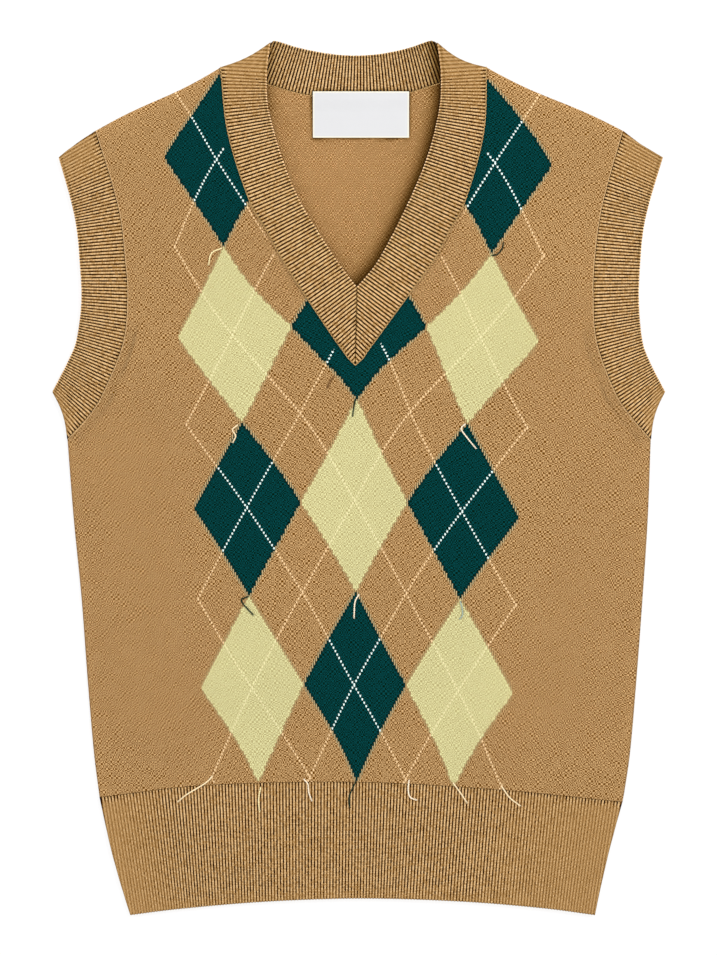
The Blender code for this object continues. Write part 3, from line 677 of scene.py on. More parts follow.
# A rib's slopes, darkened into the grooves by painted shade, and painted light on its ridges.
SLOPE_CAMEL = (0.460, 0.267, 0.099)
LIT_RIDGE_CAMEL = (0.800, 0.560, 0.285)
FLAT_RIB_LIGHT = (0.40, 0.68)    # darkest and lightest where the ribs are stretched flat
RIB_GRAIN_ACROSS = 1.3    # cells of uneven colour across each rib
RIB_GRAIN_UP = 0.7        # and in each of its courses
FOLD_CREASE = 0.30        # shade along a fold's line, 1 mm wide
MITRE_CREASE = 0.55       # and along the mitre's, narrower
CREASE_WIDTH = {"fold": 1.0, "mitre": 0.45}
FOLD_CRISP = 0.18         # share of the grooves' painted shade that is left at a fold
EDGE_LIGHT_WIDTH = 0.7    # the lit line on the free edge
EDGE_SHADE_OFF = 1.8      # and the dark one behind it
SEAM_SHADE_WIDTH = 0.9
SEAM_CRISP = 1.15         # the grooves' painted shade stays this strong within 4 mm of the seam
SEAM_CRISP_WIDTH = 4.0
CALM_WIDTH = 6.0
BACK_NECK_RIBS = 78
BACK_NECK_EDGE = rows_of(
    "x y",
    (-66.2, 325.5),
    (-61.8, 327.0),
    (-44.0, 321.8),
    (-22.0, 317.6),
    (-2.5, 316.2),
    (17.0, 317.6),
    (37.0, 321.8),
    (53.0, 327.1),
    (58.8, 325.5),
)
BACK_NECK_LEAN = rows_of(  # place along the seam, and the ribs' turn there in degrees
    "x turn",
    (-103.3, 60.0),
    (-61.3, 70.6),
    (-47.8, 75.0),
    (-15.5, 84.4),
    (11.0, 93.0),
    (43.7, 103.0),
    (56.5, 108.0),
    (95.6, 118.0),
)
FOLD_BOW = rows_of(       # how far the ends of the bands bow out, or in, from a straight line
    "fold left right",
    ("hem side", 1.5, -1.0),
    ("underarm", -2.4, -2.4),
    ("arm top", 0.8, -1.0),
    ("neck top", -2.2, -3.4),
)
FOLD_STEPS = 8
ON_FOLD = 0.3             # a rib's end this close to a fold lies on it
STEPS = 240               # steps that a band's lines are read in, to find where a rib ends
RIB_CUTS = 8              # columns of each rib
BAND_ROWS = [0.0, 0.012, 0.035, 0.08, 0.14, 0.21, 0.28, 0.35, 0.42, 0.49, 0.56, 0.63, 0.70,
             0.77, 0.84, 0.90, 0.935, 0.96, 0.98, 0.992, 1.0]


def rib_finish(name, groove_side=0.82, ridge_side=0.32):
    """The look of 1x1 rib: V stitches along each round rib, and deep shade in its grooves."""
    finish = Finish(name)
    ribs, courses = finish.pair("stitches")
    shade, crisp = finish.pair("shade")
    across = finish.wander(ribs, 220.0, 0.16)
    up = finish.wander(courses, 200.0, 0.8, offset=2.0)
    from_middle = across.from_middle()
    rise = from_middle.eased(groove_side, ridge_side)
    leg = (up - from_middle * 0.4).wave()
    own = chance(math.floor(across), math.floor(up))
    lit = finish.fuzzy(rise * leg.between(0.40, 1.10) * own.between(0.68, 1.32))
    # Each groove's painted shade is strong in some stretches of its length and faint in others.
    groove = math.floor(across + 0.5)
    stretch = math.floor(up * 0.55 + chance(groove, groove, 3.0) * 7.0)
    drawn = crisp * chance(groove, stretch).between(0.45, 1.1)
    grain = four_cells(across * RIB_GRAIN_ACROSS, up * RIB_GRAIN_UP).between(*FLAT_RIB_LIGHT)
    lit = ((lit - sum(FLAT_RIB_LIGHT) / 2) * drawn + grain) * 2.0
    # Painted shade darkens the slopes into the grooves, and painted light brightens the ridges.
    low = lit.by("MAXIMUM", GROOVE_SHADE).by("MINIMUM", 1.0)
    colour = either(lit - 1.0, shaded(SLOPE_CAMEL, low, green=1.35, blue=2.5), LIT_RIDGE_CAMEL)
    colour = shaded(colour, shade * finish.slow_change())
    finish.dress(colour, rise * leg.between(0.6, 1.0), RIB_RELIEF)
    return finish


def rounded(distance, width):
    """0 at an edge, rising as a quarter round to 1 at the roll's width."""
    left = np.clip(1.0 - distance / width, 0.0, 1.0)
    return np.sqrt(1.0 - left ** 2)


def shortened(line, start, end):
    """The line read evenly, a little short at either end."""
    run = np.linalg.norm(np.diff(line, axis=0), axis=1).sum()
    return spread(line, np.linspace(start / run, 1 - end / run, STEPS + 1))


def folded(name, side, start, end):
    """The bowed line of a fold. start to end runs up the given side."""
    bow = next(row[side] for row in FOLD_BOW if row["fold"] == name)
    places = evenly(FOLD_STEPS + 1)
    line = spread(np.array([start, end]), places)
    way = (end - start) / np.linalg.norm(end - start)
    aside = outward(side, bow) * np.sin(np.pi * places)
    return line + aside[:, None] * np.array([-way[1], way[0]])


def leaning(table, key, places, side):
    """Unit steps along the ribs that pass these places. The right side mirrors the left."""
    turns = np.radians(np.interp(places[:, 0 if key == "x" else 1],
                                 [row[key] for row in table], [row["turn"] for row in table]))
    return np.column_stack([outward(side, 1.0) * np.cos(turns), np.sin(turns)])


def stations(path, ways_at, count):
    """Places along a path for ribs that lie equally far apart, measured square to them."""
    fine = spread(path, evenly(4 * STEPS + 1))
    step = np.diff(fine, axis=0)
    ways = ways_at((fine[1:] + fine[:-1]) / 2)
    apart = np.abs(step[:, 0] * ways[:, 1] - step[:, 1] * ways[:, 0])
    run = np.concatenate([[0.0], np.cumsum(apart)])
    at = evenly(count) * run[-1]
    return np.column_stack([np.interp(at, run, fine[:, k]) for k in range(2)])


def met(starts, ways, path):
    """Where a line from each start along its way first meets a path."""
    best = np.full(len(starts), np.inf)
    for a, b in zip(path, path[1:]):
        along = b - a
        cross = ways[:, 0] * along[1] - ways[:, 1] * along[0]
        cross = np.where(np.abs(cross) < 1e-9, 1e-9, cross)
        off = a - starts
        run = (off[:, 0] * along[1] - off[:, 1] * along[0]) / cross
        share = (off[:, 0] * ways[:, 1] - off[:, 1] * ways[:, 0]) / cross
        hit = (run > BLUNT / 2) & (share > -0.01) & (share < 1.01)
        best = np.where(hit & (run < best), run, best)
    return starts + ways * np.where(np.isfinite(best), best, BLUNT)[:, None]


def snapped(line, corner):
    """The line with its nearest place moved onto a corner."""
    line = line.copy()
    line[np.linalg.norm(line - corner, axis=1).argmin()] = corner
    return line


def cast_ribs(path, ways_at, outline, corners, ribs):
    """Both ends of each column, from a path to the outline across the band."""
    near = stations(path, ways_at, ribs * RIB_CUTS + 1)
    far = met(near, ways_at(near), outline)
    far[0], far[-1] = outline[0], outline[-1]
    for corner in corners:
        far = snapped(far, corner)
    return near, far


def rib_band(name, near, far, bed, finish, folds, mitre=None, blurs=(), depth=1.0,
             seam_shade=0.45, rim=(0.55, 0.30), calm=0.0, shadow=None):
    """A band whose ribs run from its seam to its free edge, over a plain inside.

    near and far have one place for each column. folds are the lines where it turns over to
    the back, and blurs how far from each the ribs are stretched flat. depth is how deep the
    grooves look, and calm how much shallower they get at the free edge. seam_shade darkens
    the band along its seam, rim gives the light on its free edge and the shade behind it, and
    shadow gives the shade of places that lie under other cloth.
    """
    columns = len(near)
    phase = np.arange(columns) / RIB_CUTS
    ridge = (0.5 - 0.5 * np.cos(2 * np.pi * phase)) ** 0.85
    length = np.linalg.norm(far - near, axis=1)
    way = (far - near) / np.maximum(length, 1e-6)[:, None]
    free, sewn = np.ones(columns), np.ones(columns)
    for fold in [*folds, *([] if mitre is None else [mitre])]:
        free = free * (distance_to(fold, far) > ON_FOLD)
        sewn = sewn * (distance_to(fold, near) > ON_FOLD)
    grid, top, under, courses, shades = [], [], [], [], []
    for v in BAND_ROWS:
        line = near + (far - near) * v
        line = line + way * (RIDGE_LEAD * (ridge - 0.5) * v ** 8 * free)[:, None]
        height = BAND_WALL - GROOVE_DIP + (RIB_RISE + GROOVE_DIP) * ridge
        fold_share, crisp, shade = np.ones(columns), np.ones(columns), np.ones(columns)
        for fold, blur in zip(folds, blurs):
            off = distance_to(fold, line)
            fold_share = np.minimum(fold_share,
                                    FOLD_SHARE + (1 - FOLD_SHARE) * rounded(off, FOLD_ROLL))
            crisp = np.minimum(
                crisp, FOLD_CRISP + (1 - FOLD_CRISP) * np.clip(off / blur, 0, 1) ** 1.3)
            shade = shade * (1 - FOLD_CREASE * close_to(off, CREASE_WIDTH["fold"]))
        if mitre is not None:
            off = distance_to(mitre, line)
            fold_share = np.minimum(fold_share, 0.8 + 0.2 * rounded(off, 1.0))
            shade = shade * (1 - MITRE_CREASE * close_to(off, CREASE_WIDTH["mitre"]))
        left = length * (1 - v)
        round_edge = np.where(free > 0, rounded(left, FREE_EDGE_ROLL), 1.0)
        edge_light = free * (rim[0] * close_to(left, EDGE_LIGHT_WIDTH)
                             - rim[1] * close_to(left - EDGE_SHADE_OFF, EDGE_LIGHT_WIDTH))
        by_seam = sewn * seam_shade * close_to(length * v, SEAM_SHADE_WIDTH)
        crisp = crisp * (1 - calm * close_to(left, CALM_WIDTH))
        crisp = np.maximum(crisp, SEAM_CRISP * sewn * close_to(length * v, SEAM_CRISP_WIDTH))
        height, crisp = height * fold_share, crisp * depth
        if shadow is not None:
            shade = shade * shadow(line)
        top.append(bed + height * (FREE_EDGE_SHARE + (1 - FREE_EDGE_SHARE) * round_edge))
        under.append(bed + UNDER_SHARE * height * (1 - round_edge))
        grid.append(line)
        courses.append(length * v / COURSE)
        shades.append(np.column_stack([shade * (1 + edge_light - by_seam), crisp]))
    rows = len(BAND_ROWS)
    flat = np.array(grid).reshape(-1, 2)
    faces = facing_up(flat, grid_faces(rows, columns))
    top = np.column_stack([flat, np.array(top).ravel()])
    under = np.column_stack([flat, np.array(under).ravel()])
    maps = {"stitches": np.column_stack([np.tile(phase, rows), np.array(courses).ravel()]),
            "shade": np.vstack(shades)}
    return closed_cloth(name, top, under, faces, maps, [finish], edge=PLAIN_CUT)


def neck_fold(side):
    """Where the neck rib turns over the shoulder, from its seam up to its free edge."""
    ends = side_line(NECK_SEAM, side, [1.0])[0], side_line(NECK_EDGE, side, [1.0])[0]
    return folded("neck top", side, *ends)


inside_rib = rib_finish("camel_rib_inside", 0.72, 0.38)
seam = across_line(BACK_NECK_SEAM, evenly(49))
edge = across_line(BACK_NECK_EDGE, evenly(STEPS + 1))
near, far = cast_ribs(
    shortened(seam, BLUNT, BLUNT), lambda at: leaning(BACK_NECK_LEAN, "x", at, "left"),
    joined(neck_fold("left"), edge, neck_fold("right")[::-1]), (edge[0], edge[-1]),
    BACK_NECK_RIBS)
back_neck_ribbing = rib_band("back_neck_ribbing", near, far, 0.0, inside_rib, (), depth=1.5,
                             shadow=neck_shade)
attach(back_neck_ribbing, "root")
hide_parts("back_neck_rib")


# ---- back armhole ribs and back hem rib ----------------------------------------------------
# The back halves of the armhole strips and the back of the hem, in the same 1x1 rib. They lie
# flat on the table under the front ones, and only their edges show.
ARMHOLE_EDGE = rows_of(   # free edge, from the underarm up to the shoulder
    "y left right",
    (64.0, -229.3, 229.3),
    (88.0, -217.0, 217.2),
    (104.0, -211.0, 212.0),
    (133.0, -207.5, 209.6),
    (163.0, -208.9, 210.8),
    (187.0, -211.2, 213.3),
    (209.0, -215.8, 218.4),
    (239.6, -224.5, 227.6),
)
HEM_EDGE = rows_of(       # bottom edge of the vest, left to right
    "x y",
    (-171.0, -327.4),
    (-134.0, -322.8),
    (-70.0, -317.4),
    (2.0, -315.0),
    (75.0, -317.2),
    (136.0, -322.1),
    (176.8, -327.4),
)
HEM_RIBS = 163
ARMHOLE_RIBS = 94
FLAT_CUTS = 2             # columns of each rib where it is only pressed flat
FLAT_ROWS = 13


def flat_rib(name, low, high, first, last, ribs, finish):
    """A back band between four lines, with its ribs pressed into its underside's look alone."""
    columns = len(low)
    places = evenly(columns)[:, None]
    grid = []
    first, last = spread(first, evenly(FLAT_ROWS)), spread(last, evenly(FLAT_ROWS))
    for share, a, b in zip(evenly(FLAT_ROWS), first, last):
        row = low + (high - low) * share
        grid.append(row + (a - row[0]) * (1 - places) + (b - row[-1]) * places)
    flat = np.array(grid).reshape(-1, 2)
    faces = facing_up(flat, grid_faces(FLAT_ROWS, columns))
    run = np.tile(evenly(columns) * ribs, FLAT_ROWS)
    length = np.linalg.norm(high - low, axis=1)
    up = (evenly(FLAT_ROWS)[:, None] * length[None, :] / COURSE).ravel()
    top = np.column_stack([flat, np.full(len(flat), BAND_WALL)])
    under = np.column_stack([flat, np.zeros(len(flat))])
    maps = {"stitches": np.column_stack([run, up]), "shade": np.ones((len(flat), 2))}
    return closed_cloth(name, top, under, faces, maps, [finish], edge=ROUND_CUT)


outer_rib = rib_finish("camel_rib_face")
hem_seam = hem_line() - np.array([0.0, SEAM_GAP])
hem_edge = across_line(HEM_EDGE, evenly(STEPS + 1))
hem_left = folded("hem side", "left", hem_edge[0], hem_seam[0])
hem_right = folded("hem side", "right", hem_edge[-1], hem_seam[-1])
columns = evenly(HEM_RIBS * FLAT_CUTS + 1)
back_hem_ribbing = flat_rib("back_hem_ribbing", spread(hem_seam, columns),
                            spread(hem_edge, columns), hem_left[::-1], hem_right[::-1],
                            HEM_RIBS, outer_rib)
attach(back_hem_ribbing, "root")
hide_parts("back_hem_rib")


def armhole_lines(side):
    """An armhole strip's seam, free edge, fold at the underarm and fold at the shoulder."""
    seam = moved_aside(armhole_line(side), outward(side, SEAM_GAP))
    edge = side_line(ARMHOLE_EDGE, side, evenly(STEPS + 1))
    underarm = folded("underarm", side, seam[0], edge[0])
    return seam, edge, underarm, folded("arm top", side, edge[-1], seam[-1])


for side in SIDES:
    seam, edge, underarm, arm_top = armhole_lines(side)
    columns = evenly(ARMHOLE_RIBS * FLAT_CUTS + 1)
    piece = flat_rib("back_armhole_ribbing_" + side, spread(seam, columns),
                     spread(edge, columns), underarm, arm_top[::-1], ARMHOLE_RIBS, outer_rib)
    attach(piece, "root")
    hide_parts("back_armhole_rib_" + side)


# ---- front panel ---------------------------------------------------------------------------
# The front is plain knit with diamonds knitted in, green and yellow by turns on camel, and fine
# diagonal lines of single stitches over them. It lies on the back, a little raised in soft
# swells, and rolls over towards its side and shoulder seams.
FRONT_BED = PANEL_WALL + SEAM_GAP
FRONT_LOFT = 0.5
SIDE_ROLL = 9.0
SHOULDER_ROLL = 20.0
ROLL_LIGHT = 0.18         # the rolls catch this much more light
# Painted shade in a thin line along the side seams, and along the neck seam.
SIDE_SEAM_SHADE = {"dark": 0.35, "wide": 1.2}
NECK_SEAM_SHADE = {"dark": 0.30, "wide": 1.1}
CHEST_Y = 40.0
SWELLS = rows_of(         # place, half length and width, turn in degrees, height
    "x y long wide turn rise",
    (-118.0, -40.0, 120.0, 26.0, 96.0, 0.9),
    (128.0, -70.0, 110.0, 24.0, 86.0, 0.9),
    (-40.0, -150.0, 90.0, 30.0, 80.0, 0.6),
    (60.0, 20.0, 100.0, 34.0, 100.0, 0.6),
    (-130.0, 190.0, 60.0, 24.0, 110.0, 0.8),
    (132.0, 190.0, 60.0, 24.0, 70.0, 0.8),
    (-10.0, -210.0, 150.0, 14.0, 0.0, 0.7),
)
NARROWED = {"top": 118.0, "fade": 12.0, "off": 7.6}     # the line by the armhole seams
HALF_WALES = 27           # half a diamond is this many stitches wide
HALF_COURSES = 54         # and this many high
HALVES_ASIDE = 3.0        # half diamonds on either side of the middle line
HALVES_UP = 8.0           # and from the hem rib up
RIM_STITCHES = 1.1        # width of the toothed rim on each side of a diamond's edge
LINE_STEP = 1.2           # width of a diagonal line, counted in half stitches along a course
LINE_WIDTH = 0.80         # share of its stitch that it fills
LINES_UP = 7.12           # half diamonds up to which the lines by the neck run
CALM_IN_DIAMOND = (0.10, 0.60)   # how much fainter the stitches look in green and in yellow
GREEN = (0.0008, 0.0470, 0.0455)
YELLOW = (0.662, 0.610, 0.306)
WHITE_LINE = (0.84, 0.95, 0.91)
CREAM_LINE = (0.90, 0.66, 0.38)
PALE_LINE = (0.84, 0.78, 0.46)
# Painted shade on a green diamond's edge stitches, and painted light on a yellow one's.
IN_RIM = {"green": 0.60, "yellow": 1.08}
# Painted shade between the camel loops outside a diamond, greenish by green; painted light on them.
BY_GREEN = ((0.020, 0.045, 0.022), (0.680, 0.530, 0.290))     # between and on the loops
BY_YELLOW = ((0.200, 0.130, 0.045), (0.600, 0.420, 0.200))
CLEAR_OF_NECK = rows_of(  # no line is worked closer than this to the neck seam
    "y off",
    (100.0, 4.6),
    (150.0, 2.6),
    (204.0, 2.4),
    (225.0, 4.2),
    (245.0, 5.8),
)
# Where the diagonals meet: up counts half diamonds from the hem, and the other columns give
# x and y at each half diamond to the left and right of the middle line.
CROSSINGS = rows_of(
    "up left_3 left_2 left_1 middle right_1 right_2 right_3",
    (0, (-109.3, -223.1), (-75.7, -229.2), (-35.8, -222.4), (-2.0, -229.6), (35.5, -223.9),
     (71.0, -232.9), (106.7, -229.9)),
    (1, (-118.3, -157.9), (-79.7, -157.1), (-41.0, -154.9), (-3.5, -154.9), (35.5, -155.6),
     (74.5, -159.4), (115.7, -161.6)),
    (2, (-119.8, -90.4), (-82.3, -88.9), (-41.8, -85.1), (-2.0, -85.5), (35.5, -85.9),
     (76.0, -91.1), (117.6, -94.9)),
    (3, (-123.5, -23.6), (-83.4, -22.1), (-43.3, -18.4), (-2.8, -16.9), (36.2, -18.4),
     (77.5, -25.1), (120.2, -30.4)),
    (4, (-128.8, 40.1), (-87.5, 40.9), (-43.3, 48.4), (-1.3, 58.9), (38.5, 49.1), (81.2, 39.8),
     (126.2, 37.9)),
    (5, (-135.5, 104.6), (-94.3, 106.9), (-50.0, 112.9), None, (50.5, 112.1), (91.0, 105.4),
     (135.2, 101.6)),
    (6, (-137.0, 172.9), (-101.0, 172.9), (-62.0, 169.9), None, (60.2, 169.9), (99.2, 167.3),
     (138.2, 166.1)),
    (7, (-146.0, 239.6), (-106.3, 238.1), None, None, None, (102.2, 235.9), (145.0, 233.6)),
    (8, None, (-104.8, 301.9), None, None, None, (96.2, 298.1), None),
)
MORE_PLACES = rows_of(    # on the diagonals, where the V and the shoulder draw the stitches
    "across up x y",
    (-0.5, 4.5, -23.0, 84.8),
    (-0.33, 4.67, -19.6, 96.2),
    (0.5, 4.5, 22.7, 88.1),
    (0.315, 4.685, 18.6, 100.3),
    (-2.5, 7.5, -125.0, 271.4),
    (-2.75, 7.75, -134.0, 283.9),
)
COLUMN_OF = {"left_3": -3, "left_2": -2, "left_1": -1, "middle": 0, "right_1": 1,
             "right_2": 2, "right_3": 3}
EASE = 0.006              # how far the stitch lines may ease off the crossings to run smooth
REACH = 250.0


def sheet_kernel(distance):
    return np.where(distance > 0, distance ** 2 * np.log(distance + 1e-12), 0.0)


def stitch_lines(places):
    """Half diamonds across and up at each place, bent like a thin sheet to meet the table."""
    known = [(row[key], (COLUMN_OF[key], row["up"])) for row in CROSSINGS for key in COLUMN_OF
             if row[key]]
    known += [((row["x"], row["y"]), (row["across"], row["up"])) for row in MORE_PLACES]
    at = np.array([place for place, _ in known]) / REACH
    counts = np.array([count for _, count in known], float)
    n = len(at)
    kernel = sheet_kernel(np.linalg.norm(at[:, None] - at[None], axis=-1)) + np.eye(n) * EASE
    flat = np.column_stack([np.ones(n), at])
    system = np.block([[kernel, flat], [flat.T, np.zeros((3, 3))]])
    weights = np.linalg.solve(system, np.vstack([counts, np.zeros((3, 2))]))
    spots = places / REACH
    near_each = sheet_kernel(np.linalg.norm(spots[:, None] - at[None], axis=-1))
    return near_each @ weights[:n] + np.column_stack([np.ones(len(spots)), spots]) @ weights[n:]


def edge_share(places):
    """0 at the side and shoulder seams, 1 inside their rolls."""
    share = np.ones(places.shape[:-1])
    for side in SIDES:
        seam = side_line(SIDE_SEAM, side, evenly(41))
        share = share * rounded(distance_to(seam, places), SIDE_ROLL)
        shoulder = shoulder_line(side, 25)
        share = share * rounded(distance_to(shoulder, places), SHOULDER_ROLL)
    return share


def swell(places):
    """How far the front rides over the back."""
    total = np.full(places.shape[:-1], FRONT_LOFT)
    for row in SWELLS:
        turn = math.radians(row["turn"])
        dx, dy = places[..., 0] - row["x"], places[..., 1] - row["y"]
        along = (dx * math.cos(turn) + dy * math.sin(turn)) / row["long"]
        across = (-dx * math.sin(turn) + dy * math.cos(turn)) / row["wide"]
        total = total + row["rise"] * np.exp(-(along ** 2 + across ** 2))
    return total


def front_heights(places):
    """Heights of the front's underside and top."""
    share = edge_share(places)
    low = FRONT_BED + swell(places) * share
    return low, low + PANEL_WALL * (0.35 + 0.65 * share)


argyle = Finish("argyle_plain_knit_face")
wales, courses = argyle.pair("stitches")
light, clear = argyle.pair("shade")
wale, run_up, height, shade = plain_stitches(argyle, wales, courses)
# A stitch is in a diamond where it lies within one half diamond of its middle, both ways added.
across = wale * (1.0 / HALF_WALES)
up = math.floor(run_up) * (1.0 / HALF_COURSES)
column = round(across * 0.5)
tier = round((up - 1.0) * 0.5)
reach = abs(across - column * 2.0) + abs(up - 1.0 - tier * 2.0)
worked = (abs(across) < HALVES_ASIDE) * (up > 0.0) * (up < HALVES_UP)
in_diamond = worked * (reach < 1.0)
in_rim = in_diamond * (reach > 1.0 - RIM_STITCHES / HALF_WALES)
out_rim = (worked - in_diamond) * (reach < 1.0 + RIM_STITCHES / HALF_WALES)
yellow = (column + tier) % 2.0 > 0.5
rim_light = in_rim * yellow.between(IN_RIM["green"] - 1, IN_RIM["yellow"] - 1) + 1.0
off_wale = wales.from_middle()
tooth = off_wale.eased(0.65, 0.25)
# The loops outside each diamond: painted light on them and painted shade between.
loops = either(yellow, either(tooth, *BY_GREEN), either(tooth, *BY_YELLOW))
# One stitch in every second course carries each diagonal line.
period = 4.0 * HALF_WALES
rising, falling = [(wale * 2.0 + run_up * slope + (period / 2 + 1.0)) % period < LINE_STEP
                   for slope in (-1.0, 1.0)]
high_up = (up > LINES_UP) * (abs(across) < 2.0)
on_line = rising.by("MAXIMUM", falling) * (abs(across) < HALVES_ASIDE + 0.02)
on_line = on_line * high_up.between(1.0, 0.0) * (off_wale < LINE_WIDTH) * (clear > 0.0)
line_colour = either(in_diamond, CREAM_LINE, either(yellow, WHITE_LINE, PALE_LINE))
shade = either(in_diamond * yellow.between(*CALM_IN_DIAMOND), shade, (1.0, 1.0, 1.0))
colour = either(in_diamond, CAMEL, either(yellow, GREEN, YELLOW))
colour = dyed(tinted(colour, shade), rim_light)
colour = either(out_rim * 0.8, colour, loops)
colour = either(on_line, colour, line_colour)
colour = dyed(colour, light * argyle.slow_change())
argyle.dress(colour, height + on_line * 0.3, STITCH_RELIEF)

middle = hem_half("left")[-1]
point = np.array([NECK_SEAM[0]["left"], NECK_SEAM[0]["y"] - 2 * SEAM_GAP])
chest = np.array([(middle[0] + point[0]) / 2, CHEST_Y])
halves = []
for side in SIDES:
    seam = moved_aside(neck_line(side), outward(side, SEAM_GAP))
    seam[0] = point
    inner = joined(spread(np.array([middle, chest]), evenly(BODY_STEPS * ROW_CUTS + 1)),
                   spread(np.array([chest, point]), evenly(CHEST_STEPS * ROW_CUTS + 1)), seam)
    top = shoulder_line(side, (len(COLUMN_SHARES) - 1) * COLUMN_CUTS + 1)
    top[-1] = seam[-1]
    halves.append(panel_half(side, inner, top))
places, faces = welded(halves)
low, high = front_heights(places)
stitches = stitch_lines(places) * np.array([HALF_WALES, HALF_COURSES]) + 0.5
share = edge_share(places)
side_off = np.minimum(*[distance_to(side_line(SIDE_SEAM, side, evenly(41)), places)
                        for side in SIDES])
neck_off = np.minimum(*[distance_to(neck_line(side), places) for side in SIDES])
# Painted light on the rolls, and painted shade along the side and neck seams.
light = 1.0 + ROLL_LIGHT * (1 - share)
light = light - SIDE_SEAM_SHADE["dark"] * close_to(side_off, SIDE_SEAM_SHADE["wide"])
light = light - NECK_SEAM_SHADE["dark"] * close_to(neck_off, NECK_SEAM_SHADE["wide"])
# Up to the chest the outermost stitches are narrowed, which leaves a fine line beside them.
arm_off = np.minimum(*[distance_to(armhole_line(side), places) for side in SIDES])
narrowed = np.clip((NARROWED["top"] - places[:, 1]) / NARROWED["fade"], 0, 1)
narrowed = narrowed * (arm_off < side_off)
light = light - narrowed * (0.08 / (1 + np.exp((arm_off - 7.5) / 0.5))
                            + 0.22 * close_to(arm_off - NARROWED["off"], 0.8))
clear = neck_off - np.interp(places[:, 1], [row["y"] for row in CLEAR_OF_NECK],
                             [row["off"] for row in CLEAR_OF_NECK])
maps = {"stitches": stitches, "shade": np.column_stack([light, clear])}
front_cloth = closed_cloth("front_cloth", np.column_stack([places, high]),
                           np.column_stack([places, low]), faces, maps, [argyle, camel_purl],
                           edge=PLAIN_CUT)
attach(front_cloth, "root")
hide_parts("front_panel")


# ---- front armhole ribs --------------------------------------------------------------------
# Strips of 1x1 rib linked round the armholes. The ribs run across the strip, and fan out round
# the curve at the underarm; at both ends the strip folds over to the back.
BAND_BED = BAND_WALL + SEAM_GAP
ARMHOLE_LEAN = rows_of(   # for the left side, from the free edge to the seam
    "y turn",
    (28.5, -54.0),
    (37.0, -49.0),
    (47.0, -41.0),
    (58.0, -34.0),
    (68.0, -28.5),
    (82.0, -22.0),
    (100.0, -15.0),
    (124.0, -5.5),
    (148.0, 0.0),
    (192.0, 8.0),
    (214.0, 17.5),
    (230.0, 23.5),
    (259.5, 31.0),
)
for side in SIDES:
    seam, edge, underarm, arm_top = armhole_lines(side)
    near, far = cast_ribs(
        shortened(seam, BLUNT, BLUNT), lambda at: -leaning(ARMHOLE_LEAN, "y", at, side),
        joined(underarm, edge, arm_top), (edge[0], edge[-1]), ARMHOLE_RIBS)
    piece = rib_band("front_armhole_ribbing_" + side, near, far, BAND_BED, outer_rib,
                     (underarm, arm_top), blurs=(9.0, 34.0), depth=1.25,
                     seam_shade=0.25)
    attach(piece, "root")
    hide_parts("front_armhole_rib_" + side)


# ---- front hem rib -------------------------------------------------------------------------
# The deep 1x1 rib that the body begins with. Its ribs run up and down, draw in towards the
# bottom edge, and end in a firm, slightly toothed edge.
HEM_LEAN = rows_of(       # place along the seam, and the ribs' turn there in degrees
    "x turn",
    (-194.0, -81.0),
    (-183.0, -81.0),
    (-156.0, -83.0),
    (-119.0, -86.5),
    (-74.0, -89.0),
    (0.0, -91.0),
    (41.0, -93.5),
    (90.0, -94.5),
    (130.0, -95.5),
    (160.0, -97.0),
    (197.4, -99.5),
)
near, far = cast_ribs(
    shortened(hem_seam, BLUNT, BLUNT), lambda at: leaning(HEM_LEAN, "x", at, "left"),
    joined(hem_left[::-1], hem_edge, hem_right), (hem_edge[0], hem_edge[-1]), HEM_RIBS)
# Its free edge gets a painted shadow line where the other bands get painted light.
front_hem_ribbing = rib_band("front_hem_ribbing", near, far, BAND_BED, outer_rib,
                             (hem_left, hem_right), blurs=(50.0, 105.0), depth=1.2,
                             seam_shade=0.20, rim=(-0.45, 0.0), calm=0.45)
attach(front_hem_ribbing, "root")
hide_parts("front_hem_rib")


# ---- front neck ribs -----------------------------------------------------------------------
# The two front runs of the neck strip. Their ribs run from the seam to the free edge, and near
# the point of the V they end against each other in a mitre.
NECK_BED = BAND_WALL + RIB_RISE + SEAM_GAP
FRONT_NECK_RIBS = 100
NECK_LEAN = rows_of(      # for the left side, from the seam to the free edge
    "y turn",
    (84.0, 48.0),
    (103.0, 40.5),
    (127.0, 35.5),
    (155.0, 32.0),
    (182.0, 28.0),
    (210.0, 22.0),
    (243.0, 16.0),
    (275.0, 5.5),
    (301.0, -4.0),
    (326.5, 0.0),
)
for side in SIDES:
    seam = neck_line(side)[::-1]
    fold = neck_fold(side)[::-1]
    edge = side_line(NECK_EDGE, side, evenly(STEPS + 1))[::-1]
    aside = outward(side, -SEAM_GAP / 2)
    vertex = edge[-1] + np.array([aside, 0.0])
    foot = np.array([NECK_SEAM[0][side] + aside, NECK_SEAM[0]["y"] + BLUNT])
    edge[-1] = vertex
    path = joined(shortened(fold, BLUNT, 0.0), shortened(seam, 0.0, BLUNT))
    mitre = np.array([vertex, foot])
    near, far = cast_ribs(path, lambda at: leaning(NECK_LEAN, "y", at, side),
                          joined(edge, mitre), (vertex,), FRONT_NECK_RIBS)
    near = snapped(near, seam[0])
    piece = rib_band("front_neck_ribbing_" + side, near, far, NECK_BED, outer_rib, (fold,),
                     mitre=mitre, blurs=(48.0,), depth=1.45)
    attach(piece, "root")
    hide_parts("front_neck_rib_" + side)


